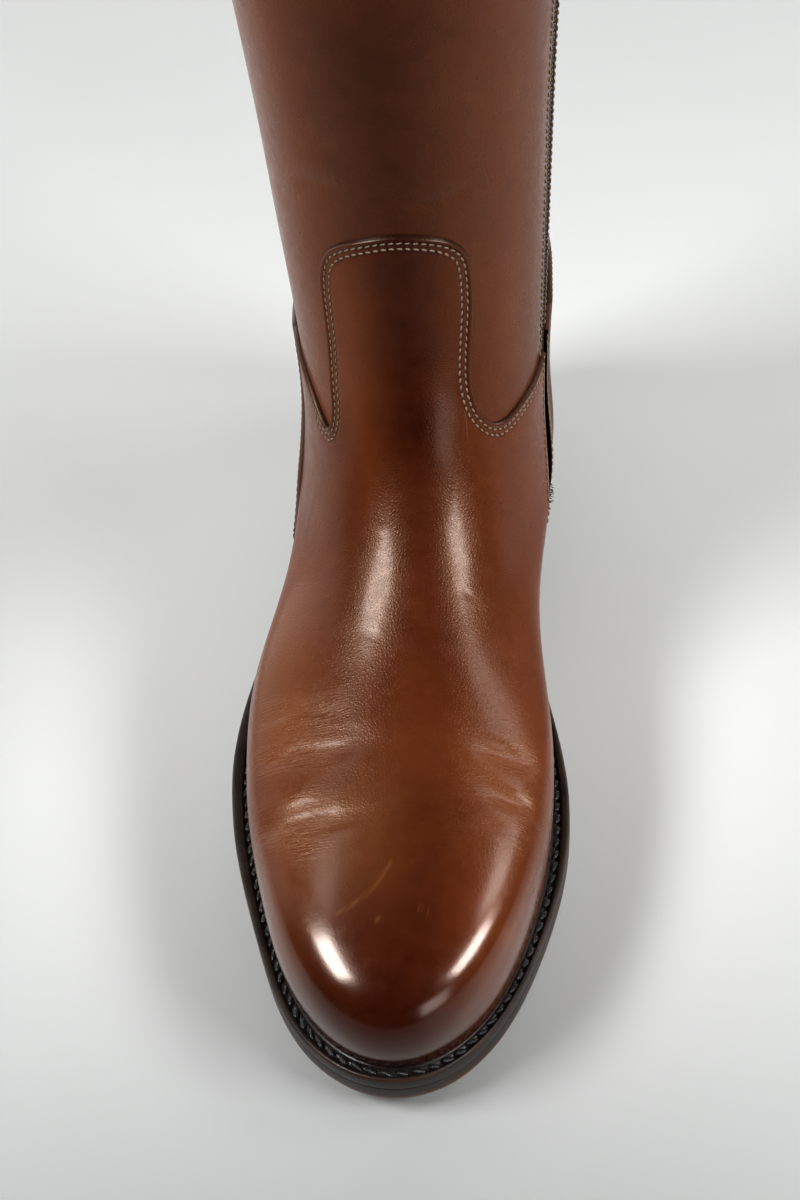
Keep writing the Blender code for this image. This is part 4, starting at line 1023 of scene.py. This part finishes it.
def buildSeams():
    # two rows of pale thread inside the vamp's edge, two round the counter, one each side of the zip
    grain, grainQuads = capsule(6, 6)
    counterLength = np.interp(-counterEdge, edgeDenseRows[:1100, 1], edgeDense[:1100])
    zipStart = float(zipLine(-zipper["slotWidth"] / 2 - 2.5)[4])
    front = edgeAt(np.linspace(counterLength + 2.0, zipStart, 1600))[:, 1:3]
    wide = zipper["tapeWidth"] / 2
    zipEnd = float(zipLine(wide)[4])
    back = np.vstack([edgeAt(np.linspace(zipEnd + 3.0, edgeTotal, 700))[:, 1:3],
                      edgeAt(np.linspace(0.0, counterLength - 3.0, 700))[1:, 1:3] + np.array((2, 0))])
    shareDown = np.linspace(0.96, 0.03, 500)
    lower = edgeAt(counterLength)
    outerFront = np.stack([lower[0] + (lower[1] - lower[0]) * shareDown, lower[2] * shareDown], axis=-1)
    rise = np.linspace(zipper["footRing"] + 0.1, topRing - 0.25, 900)
    rows = []
    for number, inset in enumerate(vamp["stitchAt"]):
        tilt = 9 if number == 0 else -9
        rows.append((*insetRows(front, inset, vamp["thick"] - vamp["groove"] + 0.12), tilt))
        level = vamp["thick"] + counter["thick"] - vamp["groove"] + 0.12
        rows.append((*insetRows(back, inset, level), tilt))
        rows.append((*insetRows(outerFront, inset, level), tilt))
    for sign in (-1, 1):
        place = zipAcross(sign * (zipper["slotWidth"] / 2 + 2.0), rise)
        level = np.where(rise < 7.15, vamp["thick"], 0.0) + 0.10
        rows.append((wallAt(place, rise, level), wallNormal(place, rise), 6))
    around = np.linspace(0, 1, 1500)
    rear = zipAcross(zipper["slotWidth"] / 2 + 2.0, topRing - 0.12) - 2
    ahead = zipAcross(-zipper["slotWidth"] / 2 - 2.0, topRing - 0.12)
    collarRow = rear + (ahead - rear) * around
    rows.append((wallAt(collarRow, topRing - 0.12, 0.08), wallNormal(collarRow, topRing - 0.12), 6))
    parts = [stitchLine(points, normals, vamp["stitch"], 0.74, 0.35, tilt, seed)
             for seed, (points, normals, tilt) in enumerate(rows)]
    joined = [np.concatenate(values) for values in zip(*parts)]
    points, quads, out = placeMany(grain, grainQuads, *joined)
    makePiece("seam_stitches", points, quads, tanThread, out=out)


buildSeams()
print("seams sewn")

# Welt, sole and heel

soleEdgeValues = {
    "stations": 260,
    "stitchPitch": 4.3,
    "stitchFrom": 4.3,    # welt stitches show where the welt is at least this wide
}

# Cross-section of the welt: share of the rim, millimetres added, height over its underside, wear
weltProfile = np.array((
    (0, -0.90, 3.95, 0.0), (0.35, -0.48, 3.95, 0.0), (0.35, -0.18, 3.70, 0.0), (0.35, 0.12, 3.05, 0.0),
    (0.35, 0.92, 2.75, 0.0), (0.35, 1.67, 2.95, 0.0), (0.35, 2.07, 3.50, 0.0), (0.35, 2.29, 3.90, 0.1),
    (0.35, 2.57, 4.12, 0.2), (1, -0.72, 4.16, 0.1), (1, -0.45, 4.02, 0.3), (1, -0.18, 3.72, 0.6),
    (1, -0.04, 3.25, 0.2), (1, 0.05, 2.40, 0.0), (1, 0.09, 1.20, 0.0), (1, 0.10, 0.10, 0.0),
    (1, 0.07, -0.05, 0.0), (1, -0.04, -0.14, 0.0), (1, -1.00, -0.20, 0.0),
))

# Cross-section of the outsole, in the same columns
soleProfile = np.array((
    (1, -1.00, 6.45, 0.0), (1, -0.04, 6.44, 0.0), (1, 0.07, 6.38, 0.0), (1, 0.10, 6.26, 0.0),
    (1, 0.12, 5.20, 0.0), (1, 0.12, 3.60, 0.0), (1, 0.09, 2.10, 0.2), (1, 0.00, 1.10, 0.7),
    (1, -0.22, 0.45, 1.0), (1, -0.60, 0.10, 0.9), (1, -1.20, 0.00, 0.5), (0.5, 0.00, 0.00, 0.35),
))


def soleStations():
    # places from toe to heel, evenly spaced along the inner outline
    dense = np.linspace(0, 1, 2000)
    share, length = evenly(wallPoint(dense, 0 * dense), soleEdgeValues["stations"])
    return share


def rimWidth(across):
    # width of the rim: the outer and inner columns, mixed over the front
    y = wallPoint(across, np.zeros_like(across))[:, 1] / boot["length"]
    out, inner = rimAt(y).T
    middle = np.clip(0.5 + across * 4, 0, 1)
    middle = np.where(np.abs(across) > 0.5, (across > 0) * 1.0, middle)
    return out + (inner - out) * middle


def carriedProfile(across, profile, level):
    # the cross-section carried round the sole: out from the upper's foot by a share of the rim and a
    # few millimetres, fewer where the rim is narrow, and up from the level of the sole at the outline
    foot = wallPoint(across, np.zeros_like(across))
    normal = wallNormal(across, np.zeros_like(across))
    rim = rimWidth(across)
    outline = foot + normal * rim[:, None]
    narrow = np.clip((rim - 0.9) / 4.6, 0.4, 1.0)
    reach = profile[:, 0:1] * rim[None, :] + profile[:, 1:2] * narrow[None, :]
    place = foot[None] + normal[None] * reach[..., None]
    place[..., 2] = (soleBottom(outline[:, 1]) + level)[None, :] + profile[:, 2:3]
    return place, normal


stations = soleStations()
roundSole = np.concatenate([stations, -stations[-2:0:-1]])


def buildWelt():
    level = boot["soleThick"] + boot["gap"]
    points, normal = carriedProfile(roundSole, weltProfile, level)
    lean = np.linspace(1, 0, len(weltProfile))[:, None, None]
    out = normal[None] * (1 - lean) + np.array((0, 0, 1.0)) * lean
    wear = np.repeat(weltProfile[:, 3:4], len(roundSole), 1)
    number = np.arange(len(roundSole))
    wear = wear * (0.5 + 0.5 * np.sin(number * 0.37) * np.sin(number * 0.11)) * 0.5
    makePiece("welt_rim", points, gridQuads(len(weltProfile), len(roundSole), loop=True), weltLeather,
              ("welt",), marks={"raw": wear}, out=np.broadcast_to(out, points.shape))


def buildOutsole():
    # the edge carried round, then the underside as strips between its two sides
    points, normal = carriedProfile(roundSole, soleProfile, 0.0)
    rows = len(soleProfile)
    wear = np.repeat(soleProfile[:, 3:4], len(roundSole), 1)
    toe = np.exp(-(points[..., 1] / 60.0) ** 2)
    wear = wear * (0.35 + 0.65 * toe)
    count = len(stations)
    right = points[-1, :count]
    left = points[-1, np.concatenate([[0], np.arange(len(roundSole) - 1, count - 1, -1), [count - 1]])]
    share = np.linspace(0, 1, 15)[None, :, None]
    plate = right[:, None] * (1 - share) + left[:, None] * share
    plate[..., 2] = soleBottom(plate[..., 1])
    quads = gridQuads(rows, len(roundSole), loop=True)
    start = rows * len(roundSole)
    below = gridQuads(count, 15) + start
    rim = np.broadcast_to(normal[None], points.shape) * 1.0
    corner = plate.reshape(-1, 3)
    flat = np.broadcast_to(np.array((0, 0, -1.0)), corner.shape)
    facing = turnedOut(points.reshape(-1, 3), quads, rim.reshape(-1, 3))
    under = turnedOut(np.concatenate([points.reshape(-1, 3), corner]), below,
                      np.concatenate([rim.reshape(-1, 3), flat]))
    marks = {"raw": np.concatenate([wear.ravel(), np.full(len(corner), 0.45)])}
    makePiece("sole_plate", np.concatenate([points.reshape(-1, 3), corner]), np.vstack([facing, under]),
              soleEdge, ("outsole",), marks=marks, weld=0.02)


def turnedOut(points, quads, out):
    # the same faces, turned so that together they face the given directions
    corner = points[quads]
    normal = np.cross(corner[:, 2] - corner[:, 0], corner[:, 3] - corner[:, 1])
    return quads if (normal * out[quads[:, 0]]).sum() > 0 else quads[:, ::-1]


def buildWeltStitches():
    # thick waxed stitches in the welt's channel, each one turned and uneven
    dense = np.linspace(-1, 1, 6000)
    wide = np.nonzero(rimWidth(dense) > soleEdgeValues["stitchFrom"])[0]
    dense = dense[wide[0]:wide[-1]]
    channel = weltProfile[4:5] + np.array((0.0, 0.0, 0.42, 0.0))
    line, normal = carriedProfile(dense, channel, boot["soleThick"] + boot["gap"])
    share, length = evenly(line[0], int(3000))
    even = np.linspace(0, 1, len(dense))
    line = np.stack([np.interp(share, even, line[0][:, k]) for k in range(3)], axis=-1)
    upward = np.broadcast_to(np.array((0, 0, 1.0)), line.shape)
    grain, grainQuads = capsule(8, 8)
    pitch = soleEdgeValues["stitchPitch"]
    centre, along, side, up, half = stitchLine(line, upward, pitch, 0.90, 0.88, -22, 3)
    number = np.arange(len(centre))
    half[:, 0] *= 1 + 0.10 * waver(number, 4)
    half[:, 1] *= 1 + 0.22 * waver(number, 5)
    half[:, 2] *= 0.95 + 0.20 * waver(number, 6)
    centre = (centre + np.array((0, 0, 1.0)) * (0.16 * waver(number, 7))[:, None]
              + side * (0.15 * waver(number, 8))[:, None])
    points, quads, out = placeMany(grain, grainQuads, centre, along, side, up, half)
    makePiece("welt_stitches", points, quads, waxedThread, out=out)


heel = {"breast": 0.705, "curve": 4.0, "taper": 2.5, "topPiece": 6.0, "lifts": 4}


def heelLoop():
    # ground plan: the sole's outline behind the breast on both sides, closed by a hollow breast line
    dense = np.linspace(0, 1, 1500)
    breast = heel["breast"] * boot["length"]
    sides = []
    for sign in (1, -1):
        foot = wallPoint(sign * dense, 0 * dense)[:, :2]
        normal = wallNormal(sign * dense, 0 * dense)[:, :2]
        edge = foot + normal * rimWidth(sign * dense)[:, None]
        sides.append(edge[np.searchsorted(edge[:, 1], breast):])
    x0, x1 = sides[1][0, 0], sides[0][0, 0]
    across = np.linspace(-1, 1, 60)
    front = np.stack([(x0 + x1) / 2 + (x1 - x0) / 2 * across,
                      breast + heel["curve"] * (1 - across ** 2)], axis=-1)
    loop = np.vstack([sides[0], sides[1][::-1][1:], front[1:-1]])
    share, length = evenly(np.vstack([loop, loop[:1]]), 260, closed=True)
    closed = np.vstack([loop, loop[:1]])
    even = np.linspace(0, 1, len(closed))
    return np.stack([np.interp(share, even, closed[:, k]) for k in range(2)], axis=-1)


def buildHeel():
    # stacked lifts: the plan shrinks a little towards the floor, with a fine line at every joint
    loop = heelLoop()
    breast = heel["breast"] * boot["length"]
    middleY = breast + 0.5 * (boot["length"] - breast)
    top = soleBottom(loop[:, 1]) - boot["gap"]
    lines = np.linspace(heel["topPiece"], 25.0, heel["lifts"])
    levels = np.array((0.0, 0.15, 0.5, 1.1, 3.0, 9.0, 15.0, 21.0, 27.0, 29.0, 32.0))
    beside = [lines + shift for shift in (-0.35, -0.12, 0.0, 0.12, 0.35)]
    heights = np.unique(np.concatenate([*beside, levels]))[::-1]
    share = np.clip(1 - heights[:, None] / top[None, :], 0, 1)
    z = np.minimum(heights[:, None], top[None, :])
    shrinkX = 1 - heel["taper"] / 36.0 * share
    drawnIn = middleY + (loop[:, 1] - middleY) * (1 - heel["taper"] / 45.0)
    low = np.where(loop[:, 1] > middleY, drawnIn, loop[:, 1])
    y = loop[:, 1] + (low - loop[:, 1]) * share
    x = loop[:, 0] * shrinkX
    groove = sum(np.exp(-((heights - line) / 0.16) ** 2) for line in lines) * 0.16
    inset = groove + 0.9 * (1 - quarterRound(heights, 1.0))
    centre = np.array((loop[:, 0].mean(), loop[:, 1].mean()))
    gap = np.stack([x - centre[0], y - centre[1]], axis=-1)
    gap = gap * (1 - inset[:, None, None] / np.linalg.norm(gap, axis=-1, keepdims=True))
    side = np.concatenate([centre + gap, z[..., None]], axis=-1)
    inner = np.concatenate([np.concatenate([centre + gap[-1:] * part, 0 * z[-1:, :, None]], axis=-1)
                            for part in (0.8, 0.5, 0.2, 0.0)])
    points = np.concatenate([side, inner])
    out = np.concatenate([np.concatenate([gap, 0 * z[..., None]], axis=-1),
                          np.broadcast_to(np.array((0, 0, -40.0)), inner.shape)])
    count = len(loop)
    split = int(np.argmin(np.abs(heights - heel["topPiece"])))
    quads = gridQuads(len(points), count, loop=True)
    rowOf = quads[:, 0] // count
    wear = np.where(heights < 1.2, 0.25, 0.05)[:, None] + np.zeros(count)
    above = np.nonzero(rowOf < split)[0]
    below = np.nonzero(rowOf >= split)[0]
    makePiece("heel_lifts", points[:split + 1], quads[above], heelStack, ("heel",),
              marks={"raw": wear[:split + 1]}, out=out[:split + 1])
    makePiece("heel_top_piece", points[split:], quads[below] - split * count, topPiece,
              marks={"raw": np.zeros((len(points) - split, count))}, out=out[split:], weld=0.005)


def buildInsole():
    # sock leather on the inside: strips between both sides of the wall's foot, edges rolled down
    inset = boot["wall"] + 1.7
    count = 120
    dense = np.linspace(0, 1, count)
    sides = []
    for sign in (1, -1):
        foot = wallPoint(sign * dense, 0 * dense)
        sides.append(foot - wallNormal(sign * dense, 0 * dense) * inset)
    sides[1][[0, -1]] = sides[0][[0, -1]]
    share = np.linspace(0, 1, 25)
    plate = sides[0][:, None] * (1 - share[None, :, None]) + sides[1][:, None] * share[None, :, None]
    wide = np.linalg.norm(sides[0] - sides[1], axis=1)[:, None]
    edge = quarterRound(np.minimum(share, 1 - share) * wide, 2.0)
    plate[..., 2] = featherLine(plate[..., 1]) + 3.0 * edge
    up = np.broadcast_to(np.array((0, 0, 1.0)), plate.shape)
    makePiece("sock", plate, gridQuads(count, 25), liningLeather, ("insole",),
              marks={"raw": np.zeros(plate.shape[:2])}, out=up, weld=0.01)


buildWelt()
buildOutsole()
buildWeltStitches()
buildHeel()
buildInsole()
print("sole made")


# Zip

def buildTape():
    # woven tape behind the slot, one strip each side of the middle
    wide = zipper["tapeWidth"] / 2
    ring = np.linspace(zipper["footRing"] - 0.35, topRing - 0.02, 220)[:, None]
    parts, marks, outs = [], [], []
    for sign in (-1, 1):
        distance = sign * np.linspace(0.25, wide, 14)[None, :]
        place = zipAcross(distance, ring)
        points = wallAt(place, ring, -boot["wall"] - boot["gap"])
        parts.append(points)
        outs.append(wallNormal(place, ring))
        step = np.linalg.norm(np.diff(points[:, 0], axis=0), axis=1)
        along = np.concatenate([[0.0], np.cumsum(step)])[:, None] + 0 * distance
        marks.append((along, distance + 0 * along))
    quads = gridQuads(220, 14)
    quads = np.vstack([turnedOut(np.concatenate([p.reshape(-1, 3) for p in parts]), quads + number * 220 * 14,
                                 np.concatenate([o.reshape(-1, 3) for o in outs])) for number in (0, 1)])
    makePiece("zip_tape_cloth", np.concatenate([p.reshape(-1, 3) for p in parts]), quads, wovenTape,
              ("zip_tape",), marks={"alongTape": np.concatenate([m[0].ravel() for m in marks]),
                                    "acrossTape": np.concatenate([m[1].ravel() for m in marks])})


def buildCoil():
    # two rows of teeth, each tooth a rounded bar across the zip, the rows half a step apart
    dense = np.linspace(zipper["footRing"] + 0.05, topRing - 0.04, 3000)
    middle = wallAt(zipAcross(0.0, dense), dense, -0.9)
    normal = wallNormal(zipAcross(0.0, dense), dense)
    grain, grainQuads = capsule(8, 5)
    groups = []
    for sign in (-1, 1):
        centre, along, side, up, half = stitchLine(middle, normal, zipper["pitch"], 1.0, 0.5, 0, 0)
        centre = centre + along * (sign * zipper["pitch"] / 4) + side * (sign * -1.25)
        size = np.stack([np.full(len(centre), zipper["toothLength"] / 2), np.full(len(centre), 0.46),
                         np.full(len(centre), zipper["toothThick"])], axis=-1)
        groups.append((centre, side, along, up, size))
    joined = [np.concatenate(values) for values in zip(*groups)]
    points, quads, out = placeMany(grain, grainQuads, *joined)
    makePiece("zip_teeth", points, quads, nylonCoil, ("zip_chain",), out=out)


def buildFray():
    # loose threads at the zip's foot: thin grains that stick out of the slot's end
    count = 30
    number = np.arange(count)
    ring = zipper["footRing"] + 0.05 + 0.55 * np.abs(waver(number, 11))
    place = zipAcross(3.2 * waver(number, 12), ring)
    centre = wallAt(place, ring, vamp["thick"] + 0.2 + 0.5 * waver(number, 13))
    normal = wallNormal(place, ring)
    down = np.broadcast_to(np.array((0, 0, -1.0)), normal.shape)
    along = unit(normal * 0.8 + down * (0.4 + 0.5 * waver(number, 14))[:, None]
                 + np.cross(normal, down) * (0.8 * waver(number, 15))[:, None])
    side = unit(np.cross(along, down + 0.01))
    up = np.cross(along, side)
    half = np.stack([0.8 + 0.4 * waver(number, 16), np.full(count, 0.11), np.full(count, 0.11)], axis=-1)
    grain, grainQuads = capsule(5, 5)
    points, quads, out = placeMany(grain, grainQuads, centre, along, side, up, half)
    makePiece("zip_fray", points, quads, wovenTape,
              marks={"alongTape": points[:, 2], "acrossTape": points[:, 1]}, out=out)


buildTape()
buildCoil()
buildFray()
for name in ("zip_slider", "zip_pull"):
    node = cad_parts[name]
    node.data.materials.clear()
    node.data.materials.append(zipMetal)
print("zip made")

# Camera: the photograph's place and angle, turned about its own upright to look at this boot
view = {"focal": 1636.15, "place": (58.86, -342.93, 428.59), "pitch": 48.09, "yaw": -1.55, "turn": 6.05}


def buildCamera():
    pitch, yaw, turn = (math.radians(view[key]) for key in ("pitch", "yaw", "turn"))
    ahead = Vector((math.sin(yaw) * math.cos(pitch), math.cos(yaw) * math.cos(pitch), -math.sin(pitch)))
    right = Vector((math.cos(yaw), -math.sin(yaw), 0.0))
    up = right.cross(ahead)
    ahead, right = (ahead * math.cos(turn) - right * math.sin(turn),
                    right * math.cos(turn) + ahead * math.sin(turn))
    data = bpy.data.cameras.new("photoCamera")
    data.lens = view["focal"] / 1200 * 36
    data.sensor_width = 36
    data.clip_start = 0.01
    camera = bpy.data.objects.new("photoCamera", data)
    axes = Matrix((right, up, -ahead)).transposed().to_4x4()
    camera.matrix_world = Matrix.Translation(Vector(view["place"]) * 0.001) @ axes
    bpy.context.scene.collection.objects.link(camera)
    bpy.context.scene.camera = camera


# Long soft boxes along both sides, a small low one in front, a dark room and a pale sweep behind
studio = {
    "target": (0.0, -0.05, 0.08),
    # place, size and power
    "leftBox": ((-0.749, -0.293, 0.986), (0.48, 0.34), 14.0),
    "rightBox": ((0.920, -0.307, 0.807), (0.54, 0.32), 12.5),
    "rightBackBox": ((0.830, 0.250, 0.960), (0.34, 0.31), 2.6),
    "leftBackBox": ((-0.700, 0.300, 1.080), (0.34, 0.22), 0.7),
    "frontBox": ((0.810, -1.020, 0.390), (0.44, 0.50), 2.4),
    "room": (0.020, 0.020, 0.021, 1),
    "sweep": (3.80, 3.80, 3.76, 1),
    # floor colours are painted light and shade: darker in front, paler level with the boot where its shadows
    # fall, darker out at both sides, a little darker at the back
    "floorFront": (0.235, 0.239, 0.238, 1),
    "floorMiddle": (0.600, 0.610, 0.605, 1),
    "floorSides": (0.400, 0.407, 0.404, 1),
    "floorBack": (0.540, 0.549, 0.545, 1),
    "exposure": 0.10,
    "contrast": 0.82,
}


def buildStudio():
    for name in ("leftBox", "rightBox", "rightBackBox", "leftBackBox", "frontBox"):
        place, size, power = studio[name]
        light = bpy.data.lights.new(name, "AREA")
        light.shape = "RECTANGLE"
        light.size, light.size_y = size
        light.energy = power
        lamp = bpy.data.objects.new(name, light)
        lamp.location = place
        lamp.rotation_euler = (Vector(studio["target"]) - Vector(place)).to_track_quat("-Z", "Y").to_euler()
        bpy.context.scene.collection.objects.link(lamp)
    world = bpy.data.worlds.new("paleRoom")
    world.use_nodes = True
    tree = world.node_tree
    place = tree.nodes.new("ShaderNodeTexCoord").outputs["Generated"]
    toward = put(tree, "ShaderNodeSeparateXYZ", {0: place}).outputs
    low = rampValue(tree, toward[2], 0.35, 0.62, 1.0, 0.0)
    back = calc(tree, "ADD", rampValue(tree, toward[1], 0.0, 0.35, 0.0, 0.35),
                rampValue(tree, toward[1], 0.35, 0.8, 0.0, 0.65))
    back = calc(tree, "MULTIPLY", back, rampValue(tree, toward[0], 0.30, 0.85, 1.0, 0.15))
    room = blendColour(tree, calc(tree, "MULTIPLY", low, back), studio["room"], studio["sweep"])
    tree.links.new(room, tree.nodes["Background"].inputs["Color"])
    bpy.context.scene.world = world
    material, tree, shader, place = newFinish("paleFloor")
    cloud = useGroup(tree, dyeCloud, {"Vector": place, "Size": 3.0})[0]
    sideways, along = put(tree, "ShaderNodeSeparateXYZ", {0: place}).outputs[:2]
    # painted light and shade on the floor: darker in front, paler level with the boot where its shadows fall,
    # darker out at the sides and a little darker at the back
    tone = blendColour(tree, rampValue(tree, along, -0.30, 0.02), studio["floorFront"], studio["floorMiddle"])
    sides = calc(tree, "MULTIPLY", rampValue(tree, calc(tree, "ABSOLUTE", sideways), 0.08, 0.22),
                  rampValue(tree, along, -0.34, -0.10))
    sides = calc(tree, "MULTIPLY", sides, rampValue(tree, along, 0.02, 0.20, 1.0, 0.0))
    tone = blendColour(tree, sides, tone, studio["floorSides"])
    tone = blendColour(tree, rampValue(tree, along, 0.04, 0.40), tone, studio["floorBack"])
    tree.links.new(tone, shader.inputs["Base Color"])
    tree.links.new(rampValue(tree, cloud, 0.3, 0.7, 0.50, 0.58), shader.inputs["Roughness"])
    mesh = bpy.data.meshes.new("paleFloor")
    side = 4.0
    corners = [(-side, -side, 0), (side, -side, 0), (side, side, 0), (-side, side, 0)]
    mesh.from_pydata(corners, [], [(0, 1, 2, 3)])
    mesh.materials.append(material)
    floor = bpy.data.objects.new("paleFloor", mesh)
    bpy.context.scene.collection.objects.link(floor)
    picture = bpy.context.scene.view_settings
    picture.view_transform = "Standard"
    picture.exposure = studio["exposure"]
    picture.gamma = studio["contrast"]


buildCamera()
buildStudio()
print("camera and light set")
